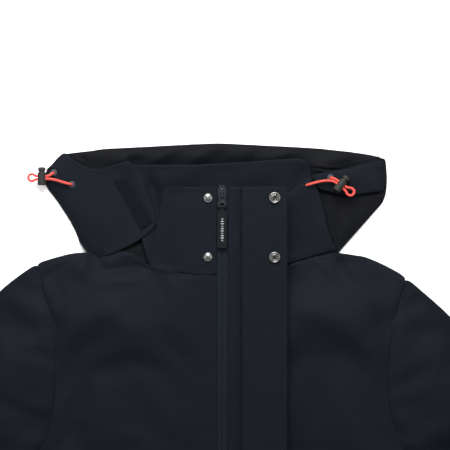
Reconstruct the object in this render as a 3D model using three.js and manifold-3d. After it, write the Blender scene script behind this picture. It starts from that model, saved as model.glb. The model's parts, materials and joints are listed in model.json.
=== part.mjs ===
// Foul weather jacket, laid flat on its back with the front zip closed, the storm flap
// turned open and the hood folded down behind the collar.
// Millimetres. +X across the chest towards the wearer's left sleeve, +Y towards the hood,
// +Z up from the table. The origin is where the zip crosses the neck seam, on the table.
import * as THREE from 'three';
import { mergeVertices } from 'three/addons/utils/BufferGeometryUtils.js';
import Module from 'manifold-3d';

const wasm = await Module();
wasm.setup();

// ---------- Driving dimensions ----------
const cloth = 1.8; // shell fabric with its lining
const gap = 0.3; // clearance between pieces that touch
const patch = 1.0; // hook-and-loop tape
const loft = 16.8; // how far the front stands off the back
const puff = 60; // distance from a closed edge to full loft

const bodyLength = 660; // neck seam to hem
const chest = 512; // across the armpits
const waist = 492;
const hem = 536;
const shoulder = 408; // across the tops of the armholes
const neckWidth = 162; // neck seam, laid flat
const armhole = 235; // neck seam level down to the armpit
const sleeveLength = 615;
const cuffWidth = 128;
const sleeveCell = 20; // facets of the sleeve's arch and of what lies on it

const collarHeight = 97;
const collarFlat = 36; // half-width over which the collar front lies level
const hoodReach = 141; // neck seam to the folded top edge of the hood

const zipSetback = 20; // hem up to the lower end of the zip
const zipGap = 1.1; // between the two tapes
const zipTape = 10; // width of one tape from the centre line
const zipTapeThick = 0.9;
const coil = { width: 2.25, height: 1.5 }; // half of the zip's coil, under its tape
const zipWindow = { left: 5.5, right: 6.5 }; // edges of the cloth beside the zip
const slider = { width: 8.6, length: 13, plate: 1.4, web: 0.5, flange: 1.2 };
const bridge = { width: 2.4, leg: 2, thick: 1.2, clear: 2.9, reach: 7.1 };
const tab = { thick: 1.3, arm: 1.7, eye: 9.5, window: 5.2, length: 16.4, rise: 3 };
const puller = { width: 10.5, thick: 2.2, length: 45.5, tongue: 4.2 };
const stopLength = 2.2;

const flap = { hinge: 21, width: 50.5, thick: 3, rise: 8.3 };
const placket = { inner: 7, ridge: 6 };
const snap = { offset: 15.4, rivet: 1.7, hole: 2, stud: 5, neck: 2, socket: 6.65, bore: 2.4 };
const snapSetback = { collarTop: 12.3, neck: 19.8, waist: 390, hem: 100 }; // waist and hem above the hem

const cord = 2.8; // elastic drawcord
const eyelet = { flange: 3.7, barrel: 2.5, bore: 1.9, thick: 0.9 };
const lock = {
  radius: 4.6, wall: 1.2, length: 14, plunger: 3.4, travel: 2,
  strands: 3.1, // between the two strands of cord in the lock
  middle: 8.45, // closed end to midway between the strands
  springLength: 2, head: 3.8,
};
const pocket = { inner: 85, width: 92, depth: 46, rise: 230 }; // rise from the hem to its seam
const cuffTab = { width: 28, length: 52, setback: 45 };
const cuffPatch = { width: 22, length: 40 };
const facets = 14; // sides of small round parts

// ---------- Levels worked out from the sizes ----------
const hoodLevel = cloth + gap; // the layer on top of the back
const collarBackLevel = hoodLevel + cloth + gap;
const collarEdge = collarBackLevel + cloth + gap; // front of the collar at its side folds
const frontLevel = hoodLevel + loft; // underside of the front beside the zip
const frontTop = frontLevel + cloth;
const tapeTop = frontLevel - gap;
const tapeBottom = tapeTop - zipTapeThick;
const hingeLevel = frontTop + flap.rise; // axis on which the storm flap turns
const zipTop = collarHeight;
const hemY = -bodyLength;
const zipEnd = hemY + zipSetback;
const sliderTop = zipTop - 1; // the stops stand above it
const neckHalf = neckWidth / 2;
const tipY = -5; // tops of the armholes

const colours = {
  shell: [0x20262c, 0.85], lining: [0x262b31, 0.9], tape: [0x23282d, 0.8],
  velcro: [0x1a1e23, 0.95], rubber: [0x16181a, 0.6], metal: [0xb9bcbf, 0.3],
  slider: [0x3c4145, 0.4], plastic: [0x1c1e1d, 0.5], cord: [0xe1483f, 0.8],
};
function material(kind) {
  const [color, roughness] = colours[kind];
  return new THREE.MeshStandardMaterial({ color, roughness, metalness: kind === 'metal' ? 0.9 : 0 });
}

// ---------- Solids ----------
function solid(geometry) {
  const bare = geometry.clone();
  bare.deleteAttribute('normal');
  bare.deleteAttribute('uv');
  const merged = mergeVertices(bare, 1e-4);
  return new wasm.Manifold(new wasm.Mesh({
    numProp: 3,
    vertProperties: new Float32Array(merged.attributes.position.array),
    triVerts: new Uint32Array(merged.index.array),
  }));
}

function geometryOf(manifold) {
  const mesh = manifold.getMesh();
  const geometry = new THREE.BufferGeometry();
  geometry.setAttribute('position', new THREE.BufferAttribute(mesh.vertProperties, 3));
  geometry.setIndex(new THREE.BufferAttribute(mesh.triVerts, 1));
  return geometry;
}

const points = (pairs) => pairs.map(([x, y]) => new THREE.Vector2(x, y));

function slab(outline, bottom, top) {
  const shape = new THREE.Shape(points(outline));
  const body = new THREE.ExtrudeGeometry(shape, { depth: top - bottom, bevelEnabled: false });
  return solid(body.translate(0, 0, bottom));
}

// A section in Y and Z carried along X from x0 to x1.
function crossBar(section, x0, x1) {
  const body = new THREE.ExtrudeGeometry(new THREE.Shape(points(section)), {
    depth: x1 - x0, bevelEnabled: false,
  });
  // shape x becomes Y and shape y becomes Z
  const turn = new THREE.Matrix4().set(0, 0, 1, x0, 1, 0, 0, 0, 0, 1, 0, 0, 0, 0, 0, 1);
  return solid(body.applyMatrix4(turn));
}

// A section in X and Z carried along Y from y0 to y1.
function lengthBar(section, y0, y1) {
  const body = new THREE.ExtrudeGeometry(new THREE.Shape(points(section)), {
    depth: y1 - y0, bevelEnabled: false,
  });
  const turn = new THREE.Matrix4().set(1, 0, 0, 0, 0, 0, -1, y1, 0, 1, 0, 0, 0, 0, 0, 1);
  return solid(body.applyMatrix4(turn));
}

function rectangle(x0, y0, x1, y1) {
  return [[x0, y0], [x1, y0], [x1, y1], [x0, y1]];
}

function drilled(body, places, radius) {
  return places.reduce((rest, [x, y]) => {
    const drill = new THREE.CylinderGeometry(radius, radius, 80, facets).rotateX(Math.PI / 2);
    return rest.subtract(solid(drill.translate(x, y, 20)));
  }, body);
}

// Cloth of even thickness whose underside follows a height over the plan, cut to an outline.
function sheet(outline, height, { thick = cloth, cell = 36, lift = 0 } = {}) {
  const box = new THREE.Box2().setFromPoints(points(outline));
  const x0 = Math.floor(box.min.x / cell - 0.1);
  const x1 = Math.ceil(box.max.x / cell + 0.1);
  const y0 = Math.floor(box.min.y / cell - 0.1);
  const y1 = Math.ceil(box.max.y / cell + 0.1);
  const across = x1 - x0 + 1;
  const along = y1 - y0 + 1;
  const corners = [];
  for (const up of [0, thick]) {
    for (let row = 0; row < along; row += 1) {
      for (let column = 0; column < across; column += 1) {
        const x = (x0 + column) * cell;
        const y = (y0 + row) * cell;
        corners.push(x, y, height(x, y) + lift + up);
      }
    }
  }
  const at = (column, row, side) => side * across * along + row * across + column;
  const faces = [];
  for (let row = 0; row < along - 1; row += 1) {
    for (let column = 0; column < across - 1; column += 1) {
      const [a, b, c, d] = [[0, 0], [1, 0], [1, 1], [0, 1]].map(([i, j]) => [column + i, row + j]);
      faces.push(at(...a, 1), at(...b, 1), at(...c, 1), at(...a, 1), at(...c, 1), at(...d, 1));
      faces.push(at(...a, 0), at(...c, 0), at(...b, 0), at(...a, 0), at(...d, 0), at(...c, 0));
    }
  }
  const wall = (a, b) => {
    const [low, lowNext, highNext, high] = [at(...a, 0), at(...b, 0), at(...b, 1), at(...a, 1)];
    faces.push(low, lowNext, highNext, low, highNext, high);
  };
  for (let i = 0; i < across - 1; i += 1) {
    wall([i, 0], [i + 1, 0]);
    wall([i + 1, along - 1], [i, along - 1]);
  }
  for (let j = 0; j < along - 1; j += 1) {
    wall([0, j + 1], [0, j]);
    wall([across - 1, j], [across - 1, j + 1]);
  }
  const body = new THREE.BufferGeometry();
  body.setAttribute('position', new THREE.Float32BufferAttribute(corners, 3));
  body.setIndex(faces);
  return solid(body).intersect(slab(outline, -20, 100));
}

// Turned parts: the profile is [radius, height] pairs, closed on itself or on the axis.
function turned(profile, sides = facets) {
  return new THREE.LatheGeometry(points(profile), sides);
}

function cordTube(route) {
  const path = new THREE.CatmullRomCurve3(route.map(([x, y, z]) => new THREE.Vector3(x, y, z)));
  const section = new THREE.Shape();
  section.absarc(0, 0, cord / 2, 0, 2 * Math.PI);
  return new THREE.ExtrudeGeometry(section, {
    extrudePath: path, steps: 30, curveSegments: 4, bevelEnabled: false,
  });
}

// ---------- Outlines of the garment, one set for each side (+1 wearer's left, -1 right) ----------
function sleeveEnd(side) {
  const lean = THREE.MathUtils.degToRad(side > 0 ? 61.5 : 60); // below the horizontal
  const along = [Math.cos(lean), -Math.sin(lean)];
  const tip = [shoulder / 2, side > 0 ? tipY : -tipY];
  const outer = [tip[0] + sleeveLength * along[0], tip[1] + sleeveLength * along[1]];
  const turnIn = lean + THREE.MathUtils.degToRad(6); // the cuff drops a little more
  const inner = [outer[0] - cuffWidth * Math.sin(turnIn), outer[1] - cuffWidth * Math.cos(turnIn)];
  return { tip, outer, inner, along: [Math.cos(turnIn), -Math.sin(turnIn)] };
}

function curve(from, control, to, count) {
  const bow = new THREE.QuadraticBezierCurve(...points([from, control, to]));
  return bow.getPoints(count).map((p) => [p.x, p.y]);
}

function sideLines(side) {
  const { tip, outer, inner } = sleeveEnd(side);
  const armpit = [chest / 2, -armhole];
  const slope = side > 0
    ? [[neckHalf, 8], [119, 14], [147, 21], [169, 16], [188, 5], tip]
    : [[neckHalf, 8], [119, 12], [150, 17], [168, 21.5], [190, 11], tip];
  return {
    slope, // shoulder line from the neck out to the armhole
    armhole: [tip, [196, -28], [188, -52], [183, -82], [182, -110], [184, -150], [196, -190],
      [222, -222], armpit],
    over: curve(tip, [tip[0] + 126, tip[1] - 110], outer, 5), // top of the sleeve
    under: curve(armpit, [armpit[0] + 50, armpit[1] - 95], inner, 4), // underside of the sleeve
    sideSeam: [armpit, [waist / 2, -420], [hem / 2, hemY]],
  };
}
const lines = { 1: sideLines(1), [-1]: sideLines(-1) };
const mirrored = (side, line) => line.map(([x, y]) => [side * x, y]);

function distanceTo(line, x, y) {
  let nearest = Infinity;
  for (let i = 0; i < line.length - 1; i += 1) {
    const [ax, ay] = line[i];
    const [bx, by] = line[i + 1];
    const run = (bx - ax) ** 2 + (by - ay) ** 2;
    const t = THREE.MathUtils.clamp(((x - ax) * (bx - ax) + (y - ay) * (by - ay)) / run, 0, 1);
    nearest = Math.min(nearest, Math.hypot(x - ax - t * (bx - ax), y - ay - t * (by - ay)));
  }
  return nearest;
}

function inside(line, x, y) {
  let within = false;
  for (let i = 0, j = line.length - 1; i < line.length; j = i, i += 1) {
    const [ax, ay] = line[i];
    const [bx, by] = line[j];
    if (ay > y !== by > y && x < ((bx - ax) * (y - ay)) / (by - ay) + ax) within = !within;
  }
  return within;
}

// How level the front lies near the zip: 1 beside it, 0 at the sides of the neck.
function centred(x) {
  return 1 - THREE.MathUtils.smoothstep(Math.abs(x), collarFlat, neckHalf + 4);
}

// Underside of the front: sewn down along its closed edges, standing off the back between them.
function frontHeight(side) {
  const { slope, sideSeam } = lines[side];
  // The sleeve's folds run on past the cuff, so its mouth stays open.
  const { along } = sleeveEnd(side);
  const [over, under] = [lines[side].over, lines[side].under].map((line) => {
    const [x, y] = line.at(-1);
    return [...line, [x + cuffWidth * along[0], y + cuffWidth * along[1]]];
  });
  const edge = [...slope, ...over, ...[...under].reverse(), ...sideSeam.slice(1), [0, hemY - 40],
    [0, 40], [neckHalf, 40]];
  return (x, y) => {
    const u = side * x;
    if (u < 0) return frontLevel;
    const off = inside(edge, u, y)
      ? Math.min(...[slope, over, under, sideSeam].map((line) => distanceTo(line, u, y))) : 0;
    const rise = Math.sin((Math.min(1, off / puff) * Math.PI) / 2);
    return hoodLevel + loft * Math.max(rise, centred(x));
  };
}
const front = { 1: frontHeight(1), [-1]: frontHeight(-1) };

// The collar's front falls from the zip to its side folds; the hood's left wing lies over it.
const collarFront = (x) => collarEdge + (frontLevel - collarEdge) * centred(x);
const wingLift = cloth + patch + 2 * gap;
const rightWingHeight = (x) => THREE.MathUtils.mapLinear(
  THREE.MathUtils.clamp(x, -126, -108), -126, -108, collarBackLevel, collarEdge,
);
function leftWingHeight(x) {
  if (x < 80) return collarFront(x) + wingLift;
  return x < 130 ? collarEdge + gap : collarBackLevel;
}

const object = new THREE.Group();
function add(name, shape, kind, parent = object) {
  const geometry = shape instanceof THREE.BufferGeometry ? shape : geometryOf(shape);
  const mesh = new THREE.Mesh(geometry, material(kind));
  mesh.name = name;
  parent.add(mesh);
  return mesh;
}

const wearer = { 1: 'left', [-1]: 'right' };
const snapRows = [collarHeight - snapSetback.collarTop, snapSetback.neck,
  hemY + snapSetback.waist, hemY + snapSetback.hem];
const studPlaces = snapRows.map((y) => [-snap.offset, y]);

// ---------- Body ----------
function backPanel() {
  const half = (side) => [...lines[side].slope, ...lines[side].armhole.slice(1),
    ...lines[side].sideSeam.slice(1)];
  return slab([...half(1), ...mirrored(-1, half(-1)).reverse()], 0, cloth);
}

function frontPanel(side) {
  const { slope, armhole: cut, sideSeam } = lines[side];
  const zipEdge = side > 0 ? zipWindow.right : zipWindow.left;
  const neck = [[zipEdge, -gap], [24, -gap], [52, 3 - gap]];
  const outline = [...neck, ...slope, ...cut.slice(1), ...sideSeam.slice(1), [zipEdge, hemY]];
  const body = sheet(mirrored(side, outline), front[side]);
  return side < 0 ? drilled(body, studPlaces, snap.hole) : body;
}

function sleeve(side, shape) {
  const { armhole: cut, over, under } = lines[side];
  const seam = cut.map(([x, y]) => [x + gap, y]).reverse();
  return shape(mirrored(side, [...over, ...[...under].reverse().slice(0, -1), ...seam.slice(0, -1)]
    .map(([x, y]) => [x + gap, y])));
}

add('back_panel', backPanel(), 'lining');
for (const side of [-1, 1]) {
  add(`${wearer[side]}_front_panel`, frontPanel(side), 'shell');
  add(`${wearer[side]}_sleeve_front`, sleeve(side, (o) => sheet(o, front[side], { cell: sleeveCell })),
    'shell');
  add(`${wearer[side]}_sleeve_back`, sleeve(side, (o) => slab(o, 0, cloth)), 'lining');
}

// ---------- Collar ----------
function collarBack() {
  return slab([[-81, 9], [-90, 40], [-103, 122], [-23, 122], [27, 125], [90, 130], [98, 125],
    [100, 115], [95, 70], [88, 35], [neckHalf, 9]], collarBackLevel, collarBackLevel + cloth);
}

function collarFrontPanel(side) {
  const zipEdge = side > 0 ? zipWindow.right : zipWindow.left;
  const outline = [[zipEdge, 0], [24, 0], [52, 3], [neckHalf, 8], [64, collarHeight],
    [zipEdge, collarHeight]];
  const body = sheet(mirrored(side, outline), collarFront, { cell: 18 });
  return side < 0 ? drilled(body, studPlaces, snap.hole) : body;
}

add('collar_back', collarBack(), 'lining');
add('collar_right_front', collarFrontPanel(-1), 'shell');
add('collar_left_front', collarFrontPanel(1), 'shell');

// ---------- Hood ----------
const rightEyelets = [[-167, 100], [-187, 113]];
const leftEyelets = [[93.5, 99], [120.5, 107.5]];

function hoodBack() {
  const neckEdge = [...mirrored(-1, lines[-1].slope.slice(0, 3)).reverse(),
    ...lines[1].slope.slice(0, 3)].map(([x, y]) => [x, y + gap]);
  return slab([...neckEdge, [180, 84], [180, 106], [179, 127], [151, 133], [110, 138],
    [56, hoodReach], [-4, hoodReach + 3], [-67, hoodReach], [-140, 137], [-173, 131], [-180, 123],
    [-187, 116], [-193, 104], [-186, 89], [-175, 70], [-162, 51]], 0, cloth);
}

function hoodCrown() {
  return slab([[-150, 100], [165, 100], [176, 118], [175, 126.5], [150, 132], [110, 137],
    [56, hoodReach - 1], [-4, hoodReach + 2], [-67, hoodReach - 1], [-140, 136], [-158, 128]],
  hoodLevel, hoodLevel + cloth);
}

function rightWing() {
  const body = sheet([[-173, 131], [-162, 123], [-150, 116], [-137, 114], [-124, 119], [-103, 125],
    [-86, 96], [-73, 68], [-73.5, 54], [-78, 48], [-96, 35], [-118, 24], [-137, 20], [-146, 25],
    [-162, 51], [-175, 70], [-186, 89], [-193, 104], [-193, 116], [-180, 124]],
  rightWingHeight, { cell: 18 });
  return drilled(body, rightEyelets, eyelet.barrel + gap);
}

function leftWing() {
  const body = sheet([[46, 78], [73, 91], [91, 105], [98, 109], [111, 113], [123, 114],
    [141, 118], [179, 126], [180, 106], [177, 92], [135, 86], [119, 92], [108, 93.5], [115.5, 65],
    [118, 42], [119, 23], [73, 12], [46, 6]], leftWingHeight, { cell: 18 });
  return drilled(body, leftEyelets, eyelet.barrel + gap);
}

function loopPatch() {
  return sheet([[-119.5, 104], [-105, 109], [-77, 58.5], [-89.5, 49.6]], rightWingHeight,
    { cell: 18, thick: patch, lift: cloth + gap });
}

function hookPatch() {
  return sheet(rectangle(49, 28, 64, 72), collarFront, { cell: 18, thick: patch, lift: cloth + gap });
}

function eyeletRing() {
  const { flange, barrel, bore, thick } = eyelet;
  return turned([[bore, -gap - cloth], [barrel, -gap - cloth], [barrel, 0], [flange, 0],
    [flange - 0.5, thick], [bore, thick], [bore, -gap - cloth]]).rotateX(Math.PI / 2);
}

add('hood_back', hoodBack(), 'shell');
add('hood_crown', hoodCrown(), 'shell');
add('hood_right_wing', rightWing(), 'shell');
add('hood_left_wing', leftWing(), 'shell');
add('hood_loop_patch', loopPatch(), 'velcro');
add('hood_hook_patch', hookPatch(), 'velcro');
const rightEyeletLevel = rightWingHeight(-167);
const leftEyeletLevel = leftWingHeight(100);
for (const [side, places, height] of [
  [-1, rightEyelets, rightEyeletLevel], [1, leftEyelets, leftEyeletLevel],
]) {
  places.forEach(([x, y], i) => {
    const ring = add(`${wearer[side]}_hood_eyelet_${i + 1}`, eyeletRing(), 'plastic');
    ring.position.set(x, y, height + cloth + gap);
  });
}

// ---------- Placket and storm flap ----------
function placketStrip() {
  const base = frontTop + gap;
  const ridgeTop = hingeLevel - flap.thick / 2 - gap;
  const half = placket.ridge / 2;
  return lengthBar([[placket.inner, base], [flap.hinge + half, base], [flap.hinge + half, ridgeTop],
    [flap.hinge - half, ridgeTop], [flap.hinge - half, base + cloth], [placket.inner, base + cloth]],
  zipEnd, zipTop);
}

function stormFlap() {
  const outline = rectangle(flap.hinge + gap, zipEnd, flap.hinge + gap + flap.width - gap, zipTop);
  const body = slab(outline, hingeLevel - flap.thick / 2, hingeLevel + flap.thick / 2);
  return drilled(body, snapRows.map((y) => [2 * flap.hinge + snap.offset, y]), snap.hole);
}

add('placket', placketStrip(), 'shell');
add('storm_flap', stormFlap(), 'shell');

// ---------- Zip ----------
function zipTapeHalf(side) {
  const inner = zipGap / 2;
  const section = [[inner, tapeTop], [zipTape + inner, tapeTop], [zipTape + inner, tapeBottom],
    [inner + coil.width, tapeBottom], [inner + coil.width, tapeBottom - coil.height],
    [inner, tapeBottom - coil.height]];
  return lengthBar(mirrored(side, section), zipEnd + 2, zipTop + stopLength - gap);
}

function topStop(side) {
  const inner = zipGap / 2;
  const x = [inner, inner + coil.width].map((v) => side * v);
  return slab(rectangle(Math.min(...x), sliderTop + gap, Math.max(...x), sliderTop + gap + stopLength),
    tapeTop + gap, tapeTop + gap + 1.2);
}

const bridgeEnd = sliderTop - 1;
const crossbarY = bridgeEnd - bridge.leg - 1.8; // axis on which the pull tab swings
const crossbarZ = frontLevel + slider.plate + bridge.clear / 2 + 0.15;
const barY = crossbarY - tab.length; // axis on which the puller swings
function zipSlider() {
  const half = slider.width / 2;
  const back = sliderTop - slider.length;
  const plan = [[-half, sliderTop], [half, sliderTop], [half, back + 4], [half - 1, back],
    [1 - half, back], [-half, back + 4]];
  const plateTop = frontLevel + slider.plate;
  const bottom = tapeBottom - coil.height - gap;
  const upper = slab(plan, frontLevel, plateTop);
  const lower = slab(plan, bottom - slider.plate, bottom);
  const web = slab(rectangle(-slider.web / 2, back + 2, slider.web / 2, sliderTop - 2),
    bottom - slider.plate / 2, frontLevel + slider.plate / 2);
  const rims = [-1, 1].map((side) => {
    const x = [half - slider.flange, half].map((v) => side * v);
    return slab(rectangle(Math.min(...x), back + 4, Math.max(...x), sliderTop),
      bottom - slider.plate / 2, tapeBottom - gap);
  });
  const end = crossbarY - bridge.reach;
  const over = plateTop + bridge.clear;
  const arch = crossBar([[end, plateTop - 0.5], [end + bridge.leg, plateTop - 0.5],
    [end + bridge.leg, over], [bridgeEnd - bridge.leg, over], [bridgeEnd - bridge.leg, plateTop - 0.5],
    [bridgeEnd, plateTop - 0.5], [bridgeEnd, over + bridge.thick - 0.6],
    [bridgeEnd - 0.8, over + bridge.thick], [end + 0.8, over + bridge.thick],
    [end, over + bridge.thick - 0.6]], -bridge.width / 2, bridge.width / 2);
  return rims.reduce((all, rim) => all.add(rim), upper.add(lower).add(web).add(arch));
}

function pullTab() {
  const low = crossbarZ - tab.thick / 2;
  const arm = bridge.width / 2 + gap + tab.arm;
  const eye = tab.eye / 2;
  const edge = barY - tab.thick / 2;
  const bar = tab.window / 2;
  const plan = [[-arm, crossbarY + tab.thick / 2], [-arm, barY + 8], [-eye, barY + 3.4],
    [-eye, barY + 1.4], [-bar, edge], [bar, edge], [eye, barY + 1.4], [eye, barY + 3.4],
    [arm, barY + 8], [arm, crossbarY + tab.thick / 2]];
  const slot = bridge.width / 2 + gap;
  const legEnd = crossbarY - bridge.reach - gap;
  const high = low + tab.thick;
  return slab(plan, low, high)
    .subtract(slab(rectangle(-slot, legEnd, slot, crossbarY - tab.thick / 2), low - 1, high + 1))
    .subtract(slab([[-bar, barY + tab.thick / 2], [bar, barY + tab.thick / 2], [bar, barY + tab.rise],
      [bar / 2, barY + tab.rise + 1], [-bar / 2, barY + tab.rise + 1], [-bar, barY + tab.rise]],
    low - 1, high + 1));
}

function pullerGrip() {
  const half = puller.tongue / 2;
  const turn = Math.PI / 2;
  const ring = (radius, wide) => solid(new THREE.CylinderGeometry(radius, radius, wide, facets)
    .rotateZ(turn).translate(0, barY, crossbarZ));
  const low = frontTop + gap;
  const high = low + puller.thick;
  const wide = puller.width / 2;
  const end = barY - puller.length;
  const tongue = slab(rectangle(-half, barY - 5, half, barY - 1.3), low, high);
  const grip = slab([[-half, barY - 4], [-wide + 1, barY - 5], [-wide, barY - 8], [-wide, end + 2],
    [-wide + 2, end], [wide - 2, end], [wide, end + 2], [wide, barY - 8], [wide - 1, barY - 5],
    [half, barY - 4]], low, high);
  const bore = tab.thick * 0.5 * Math.SQRT2 + gap;
  return ring(bore + 1.1, puller.tongue).add(tongue).subtract(ring(bore, puller.tongue + 2)).add(grip);
}

function retainerBox() {
  const top = tapeTop - zipTapeThick - coil.height - gap;
  return slab(rectangle(-6, zipEnd, 6, zipEnd + 11), top - 2.5, top);
}

for (const side of [-1, 1]) {
  add(`${wearer[side]}_zip_tape`, zipTapeHalf(side), 'tape');
  add(`${wearer[side]}_zip_top_stop`, topStop(side), 'slider');
}
add('zip_slider', zipSlider(), 'slider');
add('pull_tab', pullTab(), 'slider');
add('puller', pullerGrip(), 'rubber');
add('zip_retainer_box', retainerBox(), 'plastic');

// ---------- Snap fasteners ----------
// The stud and its post clinch through the right front; the cap and the socket through the flap.
function studPiece() {
  const base = frontTop + gap;
  const top = base + 1.6;
  return turned([[0, base], [snap.stud, base], [snap.stud - 0.2, base + 0.9], [snap.neck + 0.6, top],
    [snap.neck - 0.3, top + 0.2], [snap.neck - 0.3, top + 1.6], [snap.neck, top + 2.6],
    [snap.neck - 0.6, top + 3.8], [0, top + 4]]).rotateX(Math.PI / 2);
}

function postPiece() {
  const top = frontLevel - gap;
  return turned([[0, top - 1.1], [snap.stud - 0.8, top - 1.1], [snap.stud - 0.5, top],
    [snap.rivet, top], [snap.rivet, frontTop], [0, frontTop]]).rotateX(Math.PI / 2);
}

function socketPiece() {
  const base = hingeLevel + flap.thick / 2 + gap;
  const { bore, socket } = snap;
  return turned([[bore, base], [socket, base], [socket, base + 1], [socket - 0.8, base + 2.2],
    [socket - 2, base + 2.6], [bore + 1, base + 1.9], [bore, base + 2.2], [bore, base]])
    .rotateX(Math.PI / 2);
}

function capPiece() {
  const top = hingeLevel - flap.thick / 2 - gap;
  return turned([[0, top - 1.9], [snap.socket - 1.2, top - 1.9], [snap.socket, top - 1.2],
    [snap.socket, top], [snap.rivet, top], [snap.rivet, hingeLevel + 1.3], [0, hingeLevel + 1.3]])
    .rotateX(Math.PI / 2);
}

snapRows.forEach((y, i) => {
  const pieces = {
    stud: [studPiece(), -snap.offset], post: [postPiece(), -snap.offset],
    socket: [socketPiece(), 2 * flap.hinge + snap.offset],
    cap: [capPiece(), 2 * flap.hinge + snap.offset],
  };
  for (const [piece, [shape, x]] of Object.entries(pieces)) {
    add(`snap_${piece}_${i + 1}`, shape, 'metal').position.set(x, y, 0);
  }
});

// ---------- Drawcords and their locks ----------
// Each cord comes out of one eyelet, through the lock, round a small loop and back to the other.
const rightCordRoute = [
  [-167, 100, 4.6], [-167, 100, 6.8], [-167.8, 100.2, 9.2], [-169.8, 100.7, 10.9],
  [-172.6, 101.4, 11.5], [-178, 103, 11.3], [-184, 104.8, 11.3], [-189.5, 105.85, 11.5],
  [-193, 105.95, 11.5], [-197, 105.95, 11.5], [-203, 105.95, 11.5], [-206.5, 105.4, 11.5],
  [-209.5, 103.9, 11.5], [-212.8, 104.3, 11.5], [-214.5, 107.5, 11.5], [-212.8, 110.7, 11.5],
  [-209.5, 111.1, 11.5], [-206.5, 109.6, 11.5], [-203, 109.05, 11.5], [-197, 109.05, 11.5],
  [-193.6, 109.05, 11.5], [-191.2, 109.9, 11.3], [-189, 111.5, 10.2], [-187.5, 112.6, 8.4],
  [-187, 113, 6.4], [-187, 113, 4.6],
];
const leftCordRoute = [
  [93.5, 99, 7], [93.5, 99, 9.2], [94.4, 99.3, 11.8], [96.6, 100, 13.4], [99.6, 100.9, 13.9],
  [106, 102.6, 13.4], [112.5, 103.8, 13.4], [118.5, 104, 13.7], [123.2, 103.2, 13.9],
  [126.1, 101.4, 13.9], [130.25, 98.1, 13.9], [134.4, 94.8, 13.9], [136.9, 92.1, 13.9],
  [138.9, 88.9, 13.9], [142, 87.6, 13.9], [145.3, 89.5, 13.9], [145.9, 93, 13.9],
  [143.2, 95.6, 13.9], [139.9, 96.2, 13.9], [136.6, 97.5, 13.9], [132.2, 100.9, 13.9],
  [128.9, 103.4, 13.9], [126.2, 105.2, 13.7], [123.4, 106.4, 12.9], [121.3, 107.2, 11.3],
  [120.5, 107.5, 9.2], [120.5, 107.5, 7],
];

function lockBarrel() {
  const { radius, wall, length, plunger } = lock;
  const bore = plunger + gap;
  const cup = solid(turned([[0, 0], [radius - 0.6, 0], [radius, 0.8], [radius, length - 0.6],
    [radius - 0.4, length], [bore, length], [bore, wall], [0, wall]], 16));
  return cup.subtract(lockHole(lock.middle - lock.strands / 2 - cord / 2 - 2 * gap,
    lock.middle + lock.strands / 2 + cord / 2 + gap));
}

function lockHole(from, to) {
  const height = cord + 3 * gap;
  return solid(new THREE.BoxGeometry(4 * lock.radius, to - from, height).translate(0, (from + to) / 2, 0));
}

function lockPlunger() {
  const { wall, springLength, length, plunger, travel, head, middle, strands } = lock;
  const start = wall + springLength + 2 * gap;
  const neck = length + travel + 0.2;
  const stem = solid(turned([[0, start], [plunger, start], [plunger, neck], [plunger + 0.9, neck],
    [plunger + 0.9, neck + head - 1.4], [plunger - 0.6, neck + head], [0, neck + head]], 16));
  return stem.subtract(lockHole(middle - strands / 2 - cord / 2 - gap,
    middle + strands / 2 + cord / 2 + gap + travel));
}

function lockSpring() {
  const low = lock.wall + gap;
  const high = low + lock.springLength;
  return turned([[1.7, low], [2.6, low], [2.6, high], [1.7, high], [1.7, low]], 10);
}

// A lock lies on the eyelets' flanges, on top of the wing.
const lockLevel = (wing) => wing + cloth + eyelet.thick + lock.radius;
const locks = {
  [-1]: { place: [-199.5, 107.5, lockLevel(rightEyeletLevel)], turn: 0, route: rightCordRoute },
  1: { place: [131.2, 99.5, lockLevel(leftEyeletLevel)], turn: -0.67, route: leftCordRoute },
};
for (const side of [-1, 1]) {
  const { place, turn, route } = locks[side];
  add(`${wearer[side]}_hood_cord`, cordTube(route), 'cord');
  const holder = new THREE.Group();
  holder.position.set(...place);
  holder.rotation.z = turn;
  object.add(holder);
  add(`${wearer[side]}_lock_barrel`, lockBarrel(), 'plastic', holder);
  add(`${wearer[side]}_lock_plunger`, lockPlunger(), 'plastic', holder);
  add(`${wearer[side]}_lock_spring`, lockSpring(), 'metal', holder);
  holder.children.forEach((piece) => { piece.position.y = -lock.middle; });
}

// ---------- Cuffs and pockets ----------
// Strips across the sleeve, measured from the middle of the cuff.
function cuffStrip(side, width, from, to, lift, thick) {
  const { outer, inner, along } = sleeveEnd(side);
  const middle = [(outer[0] + inner[0]) / 2, (outer[1] + inner[1]) / 2];
  const outward = [-along[1], along[0]];
  const corner = (a, b) => [
    middle[0] - along[0] * (cuffTab.setback + a) + outward[0] * b,
    middle[1] - along[1] * (cuffTab.setback + a) + outward[1] * b,
  ];
  const outline = [corner(-width / 2, from), corner(-width / 2, to), corner(width / 2, to),
    corner(width / 2, from)];
  return sheet(mirrored(side, outline), front[side], { lift, thick, cell: sleeveCell });
}

for (const side of [-1, 1]) {
  const base = cloth + gap;
  add(`${wearer[side]}_cuff_patch`, cuffStrip(side, cuffPatch.width, -2, cuffPatch.length - 2, base,
    patch), 'velcro');
  add(`${wearer[side]}_cuff_tab`, cuffStrip(side, cuffTab.width, -6, cuffTab.length - 6,
    base + patch + gap, cloth), 'shell');
  const x = [pocket.inner, pocket.inner + pocket.width].map((v) => side * v);
  const seam = hemY + pocket.rise;
  add(`${wearer[side]}_pocket_flap`, sheet(rectangle(Math.min(...x), seam - pocket.depth,
    Math.max(...x), seam), front[side], { lift: base }), 'shell');
}

export default object;
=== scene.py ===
"""A foul weather jacket laid flat on its back: front zip closed, storm flap turned open, hood
folded down behind the collar. Metres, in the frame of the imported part: +X towards the wearer's
left sleeve, +Y towards the hood, +Z up from the table."""

import json
import math

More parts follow.
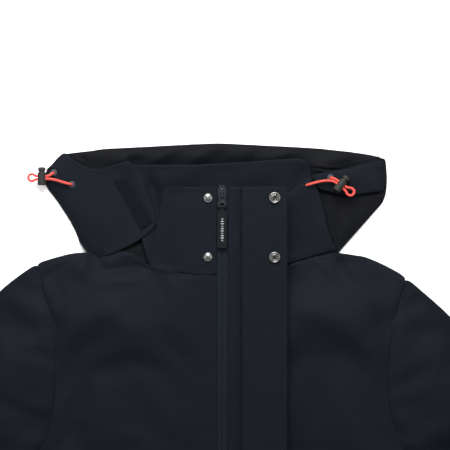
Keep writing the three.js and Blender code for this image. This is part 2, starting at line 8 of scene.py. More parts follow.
import bmesh
import bpy
import numpy as np
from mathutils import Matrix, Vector, geometry, noise
from mathutils.bvhtree import BVHTree


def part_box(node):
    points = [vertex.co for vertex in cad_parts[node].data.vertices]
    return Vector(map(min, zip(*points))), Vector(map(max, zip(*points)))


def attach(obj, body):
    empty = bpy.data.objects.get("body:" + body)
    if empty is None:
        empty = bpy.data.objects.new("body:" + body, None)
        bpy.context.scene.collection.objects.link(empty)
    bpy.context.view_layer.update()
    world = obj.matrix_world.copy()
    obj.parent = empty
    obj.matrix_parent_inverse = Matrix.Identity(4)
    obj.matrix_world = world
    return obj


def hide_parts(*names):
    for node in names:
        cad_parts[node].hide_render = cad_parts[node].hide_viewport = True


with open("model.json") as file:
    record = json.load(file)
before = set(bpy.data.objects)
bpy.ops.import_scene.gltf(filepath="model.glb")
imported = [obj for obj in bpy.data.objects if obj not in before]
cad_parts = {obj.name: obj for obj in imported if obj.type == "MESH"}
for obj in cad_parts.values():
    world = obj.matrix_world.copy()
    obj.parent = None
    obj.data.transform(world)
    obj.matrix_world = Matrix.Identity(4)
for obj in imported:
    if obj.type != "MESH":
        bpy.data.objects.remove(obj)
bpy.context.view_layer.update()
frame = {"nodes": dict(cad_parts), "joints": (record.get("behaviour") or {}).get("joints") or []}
scene = bpy.context.scene

# ---------- Camera ----------
# Straight above the collar, far enough off to show the shoulders nearly without perspective.
camera = bpy.data.objects.new("camera", bpy.data.cameras.new("camera"))
camera.data.lens = 100
camera.location = (0.0033, 0.055, 1.395)
scene.collection.objects.link(camera)
scene.camera = camera

# ---------- Hood drawcords ----------
# Round braided elastic, 2.8 mm thick, in coral red. Each comes out of one eyelet, goes through
# its lock, round a small loop and back into the other eyelet, where it is sewn into the hood.
cord_width = 0.0028
cord_routes = {
    "right": [
        (-0.167, 0.100, 0.0046), (-0.167, 0.100, 0.0068), (-0.1678, 0.1002, 0.0092),
        (-0.1698, 0.1007, 0.0109), (-0.1726, 0.1014, 0.0115), (-0.178, 0.103, 0.0113),
        (-0.184, 0.1048, 0.0113), (-0.1895, 0.10585, 0.0115), (-0.193, 0.10595, 0.0115),
        (-0.197, 0.10595, 0.0115), (-0.203, 0.10595, 0.0115), (-0.2065, 0.1054, 0.0115),
        (-0.2095, 0.1039, 0.0115), (-0.2128, 0.1043, 0.0115), (-0.2145, 0.1075, 0.0115),
        (-0.2128, 0.1107, 0.0115), (-0.2095, 0.1111, 0.0115), (-0.2065, 0.1096, 0.0115),
        (-0.203, 0.10905, 0.0115), (-0.197, 0.10905, 0.0115), (-0.1936, 0.10905, 0.0115),
        (-0.1912, 0.1099, 0.0113), (-0.189, 0.1115, 0.0102), (-0.1875, 0.1126, 0.0084),
        (-0.187, 0.113, 0.0064), (-0.187, 0.113, 0.0046),
    ],
    "left": [
        (0.0935, 0.099, 0.007), (0.0935, 0.099, 0.0092), (0.0944, 0.0993, 0.0118),
        (0.0966, 0.100, 0.0134), (0.0996, 0.1009, 0.0139), (0.106, 0.1026, 0.0134),
        (0.1125, 0.1038, 0.0134), (0.1185, 0.104, 0.0137), (0.1232, 0.1032, 0.0139),
        (0.1261, 0.1014, 0.0139), (0.13025, 0.0981, 0.0139), (0.1344, 0.0948, 0.0139),
        (0.1369, 0.0921, 0.0139), (0.1389, 0.0889, 0.0139), (0.142, 0.0876, 0.0139),
        (0.1453, 0.0895, 0.0139), (0.1459, 0.093, 0.0139), (0.1432, 0.0956, 0.0139),
        (0.1399, 0.0962, 0.0139), (0.1366, 0.0975, 0.0139), (0.1322, 0.1009, 0.0139),
        (0.1289, 0.1034, 0.0139), (0.1262, 0.1052, 0.0137), (0.1234, 0.1064, 0.0129),
        (0.1213, 0.1072, 0.0113), (0.1205, 0.1075, 0.0092), (0.1205, 0.1075, 0.007),
    ],
}


class Out:
    """One output of a finish's nodes. Arithmetic on it adds Math nodes."""

    def __init__(self, finish, socket):
        self.finish = finish
        self.socket = socket

    def math(self, operation, *terms):
        return self.finish.node("Math", {"operation": operation}, dict(enumerate(terms)))

    def __add__(self, other):
        return self.math("ADD", self, other)

    def __sub__(self, other):
        return self.math("SUBTRACT", self, other)

    def __rsub__(self, other):
        return self.math("SUBTRACT", other, self)

    def __mul__(self, other):
        return self.math("MULTIPLY", self, other)

    __radd__ = __add__
    __rmul__ = __mul__

    def sine(self):
        return self.math("SINE", self)


class Finish:
    """A procedural material: one Principled shader and the nodes that feed it."""

    def __init__(self, name, **constants):
        self.material = bpy.data.materials.new(name)
        self.material.use_nodes = True
        self.tree = self.material.node_tree
        self.shader = self.tree.nodes["Principled BSDF"]
        for socket, value in constants.items():
            self.shader.inputs[socket.replace("_", " ")].default_value = value
        self.place = self.node("TexCoord", output="Object")

    def node(self, kind, settings=(), inputs=(), output=0):
        made = self.tree.nodes.new("ShaderNode" + kind)
        for name, value in dict(settings).items():
            setattr(made, name, value)
        for name, value in dict(inputs).items():
            if isinstance(value, Out):
                self.tree.links.new(value.socket, made.inputs[name])
            else:
                made.inputs[name].default_value = value
        return Out(self, made.outputs[output])

    def mottle(self, scale, detail=3.0, stretch=(1, 1, 1)):
        """Noise from 0 to 1 with features of about 1 / scale metres."""
        place = self.node("VectorMath", {"operation": "MULTIPLY"}, {0: self.place, 1: stretch})
        return self.node("TexNoise", {}, {"Vector": place, "Scale": scale, "Detail": detail})

    def mixed(self, factor, a, b):
        mix = self.tree.nodes.new("ShaderNodeMix")
        mix.data_type = "RGBA"
        for slot, value in ((0, factor), (6, a), (7, b)):
            if isinstance(value, Out):
                self.tree.links.new(value.socket, mix.inputs[slot])
            else:
                mix.inputs[slot].default_value = value
        return Out(self, mix.outputs[2])

    def feed(self, **links):
        for socket, value in links.items():
            self.tree.links.new(value.socket, self.shader.inputs[socket.replace("_", " ")])
        return self

    def bump(self, height, depth, under=None):
        """A bump of that depth in metres, on top of another one if given."""
        inputs = {"Height": height, "Distance": depth, "Strength": 1.0}
        if under:
            inputs["Normal"] = under
        return self.node("Bump", {}, inputs)


def braided_elastic():
    """Crossing yarns, with painted shade in the braid's hollows, a painted highlight on its crowns, and
    random paler flecks.
    """
    finish = Finish("coral_braid", Sheen_Weight=0.25, Sheen_Roughness=0.4, Specular_IOR_Level=0.3)
    yarn = finish.node("Attribute", {"attribute_name": "yarn"}, output="Fac")
    fleck = finish.mottle(2600, 2)
    # painted shade and highlight: the colour follows the braid's relief, dark red in its hollows and
    # bright on its crowns
    tone = finish.mixed(yarn, (0.30, 0.012, 0.010, 1), (0.72, 0.050, 0.036, 1))
    tone = finish.mixed(fleck * 0.35, tone, (0.85, 0.16, 0.11, 1))
    return finish.feed(Base_Color=tone, Roughness=fleck * 0.2 + 0.55,
                       Normal=finish.bump(fleck, 0.00006))


def through(points, step):
    """Even points on a smooth curve through the given ones (centripetal Catmull-Rom)."""
    points = np.array(points, float)
    padded = np.vstack([2 * points[0] - points[1], points, 2 * points[-1] - points[-2]])
    fine = []
    for a, b, c, d in zip(padded, padded[1:], padded[2:], padded[3:]):
        t0, t1 = 0.0, np.linalg.norm(b - a) ** 0.5
        t2 = t1 + np.linalg.norm(c - b) ** 0.5
        t3 = t2 + np.linalg.norm(d - c) ** 0.5
        for t in np.linspace(t1, t2, 24, endpoint=False):
            ab = a + (b - a) * (t - t0) / (t1 - t0)
            bc = b + (c - b) * (t - t1) / (t2 - t1)
            cd = c + (d - c) * (t - t2) / (t3 - t2)
            abc = ab + (bc - ab) * (t - t0) / (t2 - t0)
            bcd = bc + (cd - bc) * (t - t1) / (t3 - t1)
            fine.append(abc + (bcd - abc) * (t - t1) / (t2 - t1))
    fine = np.array(fine + [points[-1]])
    run = np.concatenate([[0], np.cumsum(np.linalg.norm(np.diff(fine, axis=0), axis=1))])
    even = np.linspace(0, run[-1], max(2, round(run[-1] / step)) + 1)
    return np.stack([np.interp(even, run, fine[:, k]) for k in range(3)], axis=1)


def new_piece(name, vertices, faces, finish, slot, body="garment", smooth=True):
    mesh = bpy.data.meshes.new(name)
    mesh.from_pydata([tuple(map(float, v)) for v in vertices], [], [tuple(map(int, f)) for f in faces])
    mesh.materials.append(finish.material)
    mesh.polygons.foreach_set("use_smooth", [smooth] * len(mesh.polygons))
    piece = bpy.data.objects.new(name, mesh)
    scene.collection.objects.link(piece)
    if body:
        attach(piece, body)
    return piece


def tube(path, radius, sides, relief=None):
    """Rings of points along a path, closed at both ends; relief(ring, side) is added to the radius."""
    ahead = np.gradient(path, axis=0)
    ahead /= np.linalg.norm(ahead, axis=1)[:, None]
    side = Vector(ahead[0]).orthogonal().normalized()
    vertices = []
    for ring, (centre, along) in enumerate(zip(path, ahead)):
        along = Vector(along)
        side = (side - along * side.dot(along)).normalized()
        other = along.cross(side)
        for k in range(sides):
            angle = 2 * math.pi * k / sides
            reach = radius + (relief(ring, k) if relief else 0)
            vertices.append(Vector(centre) + (side * math.cos(angle) + other * math.sin(angle)) * reach)
    faces = [(r * sides + k, r * sides + (k + 1) % sides, (r + 1) * sides + (k + 1) % sides,
              (r + 1) * sides + k) for r in range(len(path) - 1) for k in range(sides)]
    faces.append(tuple(range(sides))[::-1])
    faces.append(tuple((len(path) - 1) * sides + k for k in range(sides)))
    return vertices, faces


def drawcord(side):
    yarns, pitch, sides, relief = 8, 0.0017, 32, 0.00011
    path = through(cord_routes[side], 0.00028)
    step = np.linalg.norm(path[1] - path[0])

    def braid(ring, k):
        around = math.cos(yarns * 2 * math.pi * k / sides)
        along = math.cos(2 * math.pi * ring * step / pitch)
        return relief * (around + along) / 2

    vertices, faces = tube(path, cord_width / 2 - relief / 2, sides, braid)
    cord = new_piece(f"{side}_drawcord", vertices, faces, braided_elastic(), "cord")
    # the braid's relief from 0 to 1, stored for the painted shade in its hollows and painted highlight on
    # its crowns
    yarn = cord.data.attributes.new("yarn", "FLOAT", "POINT")
    yarn.data.foreach_set("value", [braid(r, k) / relief / 2 + 0.5
                                    for r in range(len(path)) for k in range(sides)])
    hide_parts(f"{side}_hood_cord")
    return cord


drawcord("right")
drawcord("left")

# ---------- Table and light ----------
# A plain white table under wide soft lamps; the main one stands beyond the hood.
# Two weaker ones stand at the sides, over the sleeves.
table_half = 6.0
table = bpy.data.objects.new("table", bpy.data.meshes.new("table"))
table.data.from_pydata([(x * table_half, y * table_half, -0.0004)
                        for x, y in ((-1, -1), (1, -1), (1, 1), (-1, 1))], [], [(0, 1, 2, 3)])
scene.collection.objects.link(table)
paper = Finish("white_table", Specular_IOR_Level=0.1)
paper.feed(Base_Color=paper.mixed(paper.mottle(3), (0.93, 0.93, 0.93, 1), (0.96, 0.96, 0.96, 1)))
paper.shader.inputs["Roughness"].default_value = 0.9
table.data.materials.append(paper.material)

for name, place, size, watts in (("main_lamp", (-0.05, 0.78, 0.80), 0.7, 25),
                                 ("side_lamp", (1.5, 0.3, 1.8), 1.6, 14),
                                 ("low_lamp", (-1.5, 0.1, 1.8), 1.6, 12)):
    lamp = bpy.data.objects.new(name, bpy.data.lights.new(name, "AREA"))
    lamp.data.size = size
    lamp.data.energy = watts
    lamp.location = place
    lamp.rotation_euler = (Vector((0, -0.05, 0)) - Vector(place)).to_track_quat("-Z", "Y").to_euler()
    scene.collection.objects.link(lamp)

world = bpy.data.worlds.new("studio")
world.use_nodes = True
world.node_tree.nodes["Background"].inputs["Color"].default_value = (1, 1, 1, 1)
world.node_tree.nodes["Background"].inputs["Strength"].default_value = 0.42
scene.world = world
scene.view_settings.view_transform = "Standard"

# ---------- Fronts and sleeve tops ----------
# Three-layer shell, dark navy with a fine matt weave. The fronts are sewn to the back along the
# shoulders and sides, stand off it between them, and lie slack enough to ripple a little.
shell_thick = 0.0013


def woven(name, dark, light, pitch, coarse=0.00009, **constants):
    """Plain weave of that pitch, with uneven dye, slubs, painted shade where the yarns dip under each
    other, and soft creases in the sheen.
    """
    settings = {"Sheen_Weight": 0.01, "Sheen_Roughness": 0.45, "Specular_IOR_Level": 0.06, **constants}
    finish = Finish(name, **settings)
    axes = [finish.node("SeparateXYZ", {}, {0: finish.place}, output=k) for k in range(3)]
    turn = 2 * math.pi / pitch
    warp, weft = (axes[0] * turn).sine(), ((axes[1] + axes[2]) * turn).sine()
    crossing = warp * weft * 0.5 + 0.5
    dye = finish.mottle(9, 4)
    slub = finish.mottle(700, 2, (1, 0.25, 1))
    tone = finish.mixed(dye * 0.8 + slub * 0.3 - 0.05, dark, light)
    # painted shade: the cells where the weave's bump is low are darkened towards a deeper navy
    tone = finish.mixed((1 - crossing) * 0.35, tone, tuple(c * 0.6 for c in dark[:3]) + (1,))
    creases = finish.bump(finish.mottle(60, 4), 0.0006)
    grain = finish.bump(crossing * 0.8 + slub * 0.4, coarse, creases)
    return finish.feed(Base_Color=tone, Roughness=dye * 0.12 + slub * 0.1 + 0.58, Normal=grain)


shell = woven("navy_shell", (0.0034, 0.0049, 0.0076, 1), (0.0058, 0.0078, 0.0112, 1), 0.0007)
lining = woven("smooth_lining", (0.0018, 0.0021, 0.0033, 1), (0.0034, 0.0038, 0.0056, 1), 0.0004, 0.00003,
               Specular_IOR_Level=0.07)


def top_loops(node):
    """Closed plan loops round the upper face of a flat part, the longest first, anticlockwise."""
    flat = bmesh.new()
    flat.from_mesh(frame["nodes"][node].data)
    bmesh.ops.remove_doubles(flat, verts=flat.verts, dist=1e-5)
    beside = {}
    for edge in flat.edges:
        if sum(face.normal.z > 0.3 for face in edge.link_faces) == 1:
            a, b = (tuple(v.co.xy) for v in edge.verts)
            beside.setdefault(a, []).append(b)
            beside.setdefault(b, []).append(a)
    loops = []
    while beside:
        here = next(iter(beside))
        loop = []
        while here in beside:
            loop.append(here)
            here = next((b for b in beside.pop(here) if b in beside), None)
        loops.append(np.array(loop))
    loops.sort(key=lambda points: -np.linalg.norm(np.ptp(points, axis=0)))
    for k, loop in enumerate(loops):
        x, y = loop.T
        turn = np.sum(x * np.roll(y, -1) - y * np.roll(x, -1))
        if turn < 0:
            loops[k] = loop[::-1]
    return loops


def rounded(loop, step, rounds=4, corner=0.6):
    """Even points round a loop. Corners sharper than that stay, the rest is smoothed."""
    ahead = np.roll(loop, -1, 0) - loop
    behind = np.roll(ahead, 1, 0)
    turn = np.arctan2(behind[:, 0] * ahead[:, 1] - behind[:, 1] * ahead[:, 0], (behind * ahead).sum(1))
    points, fixed = [], []
    for k, start in enumerate(loop):
        count = max(1, round(np.linalg.norm(ahead[k]) / step))
        points += [start + ahead[k] * i / count for i in range(count)]
        fixed += [abs(turn[k]) > corner] + [False] * (count - 1)
    points, fixed = np.array(points), np.array(fixed)[:, None]
    for _ in range(rounds):
        even = (np.roll(points, 1, 0) + 2 * points + np.roll(points, -1, 0)) / 4
        points = np.where(fixed, points, even)
    return points


def inset(loop, by):
    """A loop's points moved inwards, or a line's points moved to its left."""
    along = np.roll(loop, -1, 0) - np.roll(loop, 1, 0)
    along /= np.maximum(np.linalg.norm(along, axis=1), 1e-9)[:, None]
    return loop + np.stack([-along[:, 1], along[:, 0]], 1) * by


def off(points, line, closed=True):
    """Distance from each point to a line or loop."""
    ends = np.roll(line, -1, 0) if closed else line[1:]
    starts = line if closed else line[:-1]
    nearest = np.full(len(points), 9.0)
    for a, b in zip(starts, ends):
        run = b - a
        share = np.clip(((points - a) @ run) / max(run @ run, 1e-12), 0, 1)
        nearest = np.minimum(nearest, np.linalg.norm(points - a - share[:, None] * run, axis=1))
    return nearest


def within(points, loops):
    """Whether each point lies inside the loops; a loop inside another is a hole."""
    inside = np.zeros(len(points), bool)
    x, y = points.T
    for loop in loops:
        for (ax, ay), (bx, by) in zip(loop, np.roll(loop, -1, 0)):
            crosses = (ay > y) != (by > y)
            if crosses.any():
                inside ^= crosses & (x < (bx - ax) * (y - ay) / (by - ay if by != ay else 1e-12) + ax)
    return inside


def tucked(loop, neighbours, by, near=0.004, inside=0.0012):
    """A loop drawn in a little, but carried on under its neighbours where they meet."""
    meets = np.min([off(loop, other) for other in neighbours], axis=0) < near
    share = np.convolve(np.pad(meets.astype(float), 1, "wrap"), [0.25, 0.5, 0.25], "valid")[:, None]
    under = inset(loop, inside) * (1 - share) + inset(loop, -by) * share
    hidden = within(under, neighbours)[:, None]
    return np.where(hidden | (share == 0), under, inset(loop, inside))


def as_laid(loop):
    """The hood's ends, its top and the sleeve heads lie pulled out a little from their pattern."""
    points = np.array(loop, float)
    laid = points + np.stack([points[:, 0] * 0, 0.0023 * np.clip((points[:, 1] - 0.100) / 0.03, 0, 1)], 1)
    for x, y, reach, *pull in ((-185, 122, 38, -3.2, 2.6), (-194, 119, 10, 3, -3),
                               (-192, 98, 14, -4, 0), (186, 108, 42, 5.4, 1.0),
                               (-262, -40, 75, -3, 18.5), (262, -55, 55, 2, 8)):
        away = np.linalg.norm(points - np.array((x, y)) / 1000, axis=1)
        laid += np.exp(-(away / reach * 1000) ** 2)[:, None] * np.array(pull) / 1000
    return laid


class Cut:
    """One flat cut of cloth: its plan, its triangles and the height of its upper face."""

    def __init__(self, loops, step, seams=(), rings=(0.0012, 0.0032, 0.006)):
        self.loops = loops
        self.seams = [np.array(line) for line in seams]
        low, high = loops[0].min(0), loops[0].max(0)
        rows = []
        for j, y in enumerate(np.arange(low[1], high[1], step * 0.87)):
            x = np.arange(low[0] + (j % 2) * step / 2, high[0], step)
            rows.append(np.stack([x, np.full(len(x), y)], 1))
        grid = np.concatenate(rows)
        grid = grid[within(grid, loops)]
        keep = np.min([off(grid, loop) for loop in loops], axis=0) > rings[-1] + step * 0.4
        for line in self.seams:
            keep &= off(grid, line, False) > 0.0018 + step * 0.4
        near = []
        for ring in rings:
            for loop in loops:
                points = inset(loop, ring)
                clear = np.min([off(points, other) for other in loops], axis=0) > ring * 0.9
                near.append(points[clear & within(points, loops)])
        for line in self.seams:
            fine = through(np.pad(line, ((0, 0), (0, 1))), step * 0.7)[:, :2]
            for aside in (-0.0018, 0, 0.0018):
                points = fine + self.sideways(fine) * aside
                clear = np.min([off(points, loop) for loop in loops], axis=0) > 0.0008
                near.append(points[clear & within(points, loops)])
        points = [tuple(p) for loop in loops for p in loop]
        edges, start = [], 0
        for loop in loops:
            edges += [(start + k, start + (k + 1) % len(loop)) for k in range(len(loop))]
            start += len(loop)
        points += [tuple(p) for part in (*near, grid[keep]) for p in part]
        made = geometry.delaunay_2d_cdt([Vector(p) for p in points], edges, [], 0, 1e-5, False)
        plan, faces = np.array([tuple(p) for p in made[0]]), np.array(made[2])
        faces = faces[within(plan[faces].mean(1), loops)]
        used, faces = np.unique(faces, return_inverse=True)
        self.plan, self.faces = plan[used], faces.reshape(-1, 3)
        a, b, c = (self.plan[self.faces[:, k]] for k in range(3))
        twice = (b[:, 0] - a[:, 0]) * (c[:, 1] - a[:, 1]) - (b[:, 1] - a[:, 1]) * (c[:, 0] - a[:, 0])
        self.faces[twice < 0] = self.faces[twice < 0][:, ::-1]
        self.area = float(np.abs(twice).sum() / 2)
        self.rim = np.min([off(self.plan, loop) for loop in loops], axis=0)
        self.z = np.zeros(len(self.plan))
        pairs = np.concatenate([self.faces[:, [0, 1]], self.faces[:, [1, 2]], self.faces[:, [2, 0]]])
        self.pairs = np.unique(np.sort(pairs, axis=1), axis=0)

    @staticmethod
    def sideways(line):
        along = np.gradient(line, axis=0)
        along /= np.maximum(np.linalg.norm(along, axis=1), 1e-9)[:, None]
        return np.stack([-along[:, 1], along[:, 0]], 1)

    def lie_on(self, surface, rounds=12):
        """Takes the heights of a surface, with its facets evened out."""
        self.z = np.array([surface(*p) for p in self.plan])
        return self.even(rounds)

    def even(self, rounds):
        one, two = self.pairs.T
        count = np.bincount(np.concatenate([one, two]), minlength=len(self.z))
        for _ in range(rounds):
            total = (np.bincount(one, self.z[two], len(self.z)) +
                     np.bincount(two, self.z[one], len(self.z)))
            self.z = (self.z + total / count) / 2
        return self

    def fold(self, *folds):
        """Adds soft folds: each is a line of plan points in millimetres, a half width and a height."""
        for *line, width, height in folds:
            line = np.array(line) / 1000
            run = np.linalg.norm(line[-1] - line[0])
            share = np.clip((self.plan - line[0]) @ (line[-1] - line[0]) / run ** 2, 0, 1)
            away = off(self.plan, line, False) * 1000
            taper = np.sin(np.pi * np.clip(share, 0.03, 0.97)) ** 0.6
            self.z += height / 1000 * np.exp(-(away / width) ** 2) * taper
        return self

    def ripple(self, size, height, seed=0, stretch=(1, 1)):
        """Adds uneven waves of about that size, in metres."""
        x, y = (self.plan / size * stretch).T
        self.z += height * np.array([noise.noise(Vector((a, b, seed))) for a, b in zip(x, y)])
        return self

    def seam(self, depth=0.0007):
        """Sinks the sewn lines, where the layers are stitched down."""
        for line in self.seams:
            self.z -= depth * np.exp(-(off(self.plan, line, False) / 0.0011) ** 2)
        return self

    def wrap(self, under, apart=(), drop=0.0025, reach=0.003, out=0.0012):
        """Turns the edge down round the layer beneath, where both end together."""
        closed = np.min([off(self.plan, loop) for loop in under], axis=0) < 0.0035 + self.rim
        for loop in apart:
            closed &= off(self.plan, loop) > 0.004
        weight = np.exp(-(self.rim / reach) ** 2) * closed
        self.z -= drop * weight
        centre = self.plan.copy()
        loop = self.loops[0]
        outward = loop - inset(loop, 0.001)
        for k in np.flatnonzero(weight > 0.05):
            nearest = np.argmin(((loop - centre[k]) ** 2).sum(1))
            self.plan[k] += outward[nearest] / 0.001 * out * weight[k]
        return self

    def surface(self):
        """Height of the upper face anywhere over the plan."""
        points = np.column_stack([self.plan, self.z])
        tree = BVHTree.FromPolygons([Vector(p) for p in points], self.faces.tolist())

        def height(x, y):
            hit = tree.ray_cast(Vector((x, y, 1)), Vector((0, 0, -1)))[0]
            return (hit or tree.find_nearest(Vector((x, y, 0.02)))[0]).z

        return height

    def sewn(self, name, finish, slot, thick=shell_thick, body="garment", levels=1, under=lining):
        """The cut as a piece of cloth with rounded edges, lined, hanging below its upper face."""
        self.z = np.maximum(self.z, thick)
        piece = new_piece(name, np.column_stack([self.plan, self.z]), self.faces, finish, slot, body)
        piece.data.materials.append(under.material)
        layer = piece.modifiers.new("thickness", "SOLIDIFY")
        layer.thickness = thick
        layer.offset = -1
        layer.material_offset = 1
        if levels:
            piece.modifiers.new("soft edges", "SUBSURF").levels = levels
            piece.modifiers["soft edges"].render_levels = levels
        return piece

    def declare(self):
        size = np.ptp(self.loops[0], axis=0)


def top_of(node):
    """Height of a part's upper face anywhere over its plan."""
    source = frame["nodes"][node].data
    tree = BVHTree.FromPolygons([v.co for v in source.vertices], [p.vertices for p in source.polygons])

    def height(x, y):
        hit = tree.ray_cast(Vector((x, y, 1)), Vector((0, 0, -1)))[0]
        return (hit or tree.find_nearest(Vector((x, y, 0.1)))[0]).z

    return height


def slacken(cut, held, growth, frames=16, bend=2.0):
    """Lets the cloth grow between its held points and buckle, by simulation without gravity."""
    mesh = bpy.data.meshes.new("slack")
    mesh.from_pydata([tuple(p) for p in np.column_stack([cut.plan, cut.z])], [], cut.faces.tolist())
    trial = bpy.data.objects.new("slack", mesh)
    scene.collection.objects.link(trial)
    pins = trial.vertex_groups.new(name="held")
    for k, weight in enumerate(held):
        if weight > 0:
            pins.add([k], float(weight), "REPLACE")
    cloth = trial.modifiers.new("cloth", "CLOTH")
    cloth.settings.vertex_group_mass = "held"
    cloth.settings.shrink_min = -growth
    cloth.settings.mass = 0.15
    cloth.settings.quality = 5
    cloth.settings.bending_stiffness = bend
    cloth.settings.effector_weights.gravity = 0
    cloth.point_cache.frame_start, cloth.point_cache.frame_end = 1, frames
    for number in range(1, frames + 1):
        scene.frame_set(number)
    slack = trial.evaluated_get(bpy.context.evaluated_depsgraph_get())
    moved = np.array([v.co for v in slack.data.vertices])
    scene.frame_set(1)
    bpy.data.objects.remove(trial)
    return moved[:, 2] - cut.z


def stitches(name, lines, surface, finish, slot="shell", body="garment", pitch=0.0034):
    """Rows of thread, one short raised dash for each stitch, dipping into the cloth at its ends."""
    thread, length, sides = 0.00028, 0.0024, 6
    vertices, faces = [], []
    for line in lines:
        run = np.concatenate([[0], np.cumsum(np.linalg.norm(np.diff(line, axis=0), axis=1))])
        for start in np.arange(pitch / 2, run[-1] - pitch, pitch):
            ends = [np.array([np.interp(at, run, line[:, k]) for k in (0, 1)])
                    for at in start + length * np.array([0, 0.2, 0.8, 1])]
            path = [Vector((*p, surface(*p) + lift)) for p, lift in
                    zip(ends, (-0.0003, 0.0002, 0.0002, -0.0003))]
            along = (path[2] - path[1]).normalized()
            side = along.cross(Vector((0, 0, 1))).normalized()
            up = side.cross(along)
            base = len(vertices)
            for ring, point in enumerate(path):
                wide = thread * (0.6 if ring in (0, 3) else 1)
                vertices += [point + (side * math.cos(a) + up * math.sin(a)) * wide
                             for a in (2 * math.pi * k / sides for k in range(sides))]
            faces += [(base + r * sides + k, base + r * sides + (k + 1) % sides,
                       base + (r + 1) * sides + (k + 1) % sides, base + (r + 1) * sides + k)
                      for r in range(3) for k in range(sides)]
            faces += [tuple(base + k for k in range(sides))[::-1],
                      tuple(base + 3 * sides + k for k in range(sides))]
    return new_piece(name, vertices, faces, finish, slot, body)


def row(loop, by, keep=lambda p: np.ones(len(p), bool)):
    """The stretches of a loop, moved inwards, that keep(points) picks."""
    points = inset(loop, by)
    picked = keep(points)
    if picked.all():
        return [np.vstack([points, points[:1]])]
    first = int(np.argmin(picked))
    points, picked = np.roll(points, -first, 0), np.roll(picked, -first)
    rows, run = [], []
    for point, good in zip(points, picked):
        if good:
            run.append(point)
        elif run:
            rows.append(np.array(run))
            run = []
    return [np.array(r) for r in rows + [run] if len(r) > 2]


thread = Finish("polyester_thread", Specular_IOR_Level=0.1)
thread.feed(Base_Color=thread.mixed(thread.mottle(1500), (0.004, 0.0055, 0.009, 1),
                                    (0.010, 0.0125, 0.018, 1)),
            Roughness=thread.mottle(900) * 0.2 + 0.45)

cell = 0.0075
hem_rise = 0.020
zip_side = 0.026  # the cloth beside the zip is held level under the placket and the flap
# The yoke seam runs a little in front of the shoulder, from the neck out over the sleeve head.
yoke = {side: [(sign * x / 1000, y / 1000) for x, y in
               ((150, 19), (167, 13), (183, 6), (202, -5), (212, -10))]
        for side, sign in (("right", -1), ("left", 1))}
# Cloth bunched by the folded hood where the shoulder meets the neck.
neck_folds = {
    "right": [((-148, 28), (-141, 14), (-134, 3), 4, -8), ((-134, 4), (-112, 7), (-88, 9), 5, -6),
              ((-166, 18), (-148, -6), 8, 5), ((-134, 22), (-112, 17), 6, 4),
              ((-140, -8), (-112, -5), (-86, -3), 7, 5),
              ((-196, -48), (-176, -60), 9, -3), ((-150, -20), (-90, -60), 22, 3),
              ((-176, 8), (-206, -34), 10, 2), ((-120, -30), (-60, -44), 14, -2)],
    "left": [((124, 20), (133, 2), (146, -12), 6, -4), ((112, 12), (128, -4), 6, 3.5),
             ((140, 12), (158, -6), 8, 3), ((186, -40), (168, -70), 12, -4),
             ((95, -20), (150, -70), 24, 4), ((60, -26), (110, -16), 12, -2.5)],
}
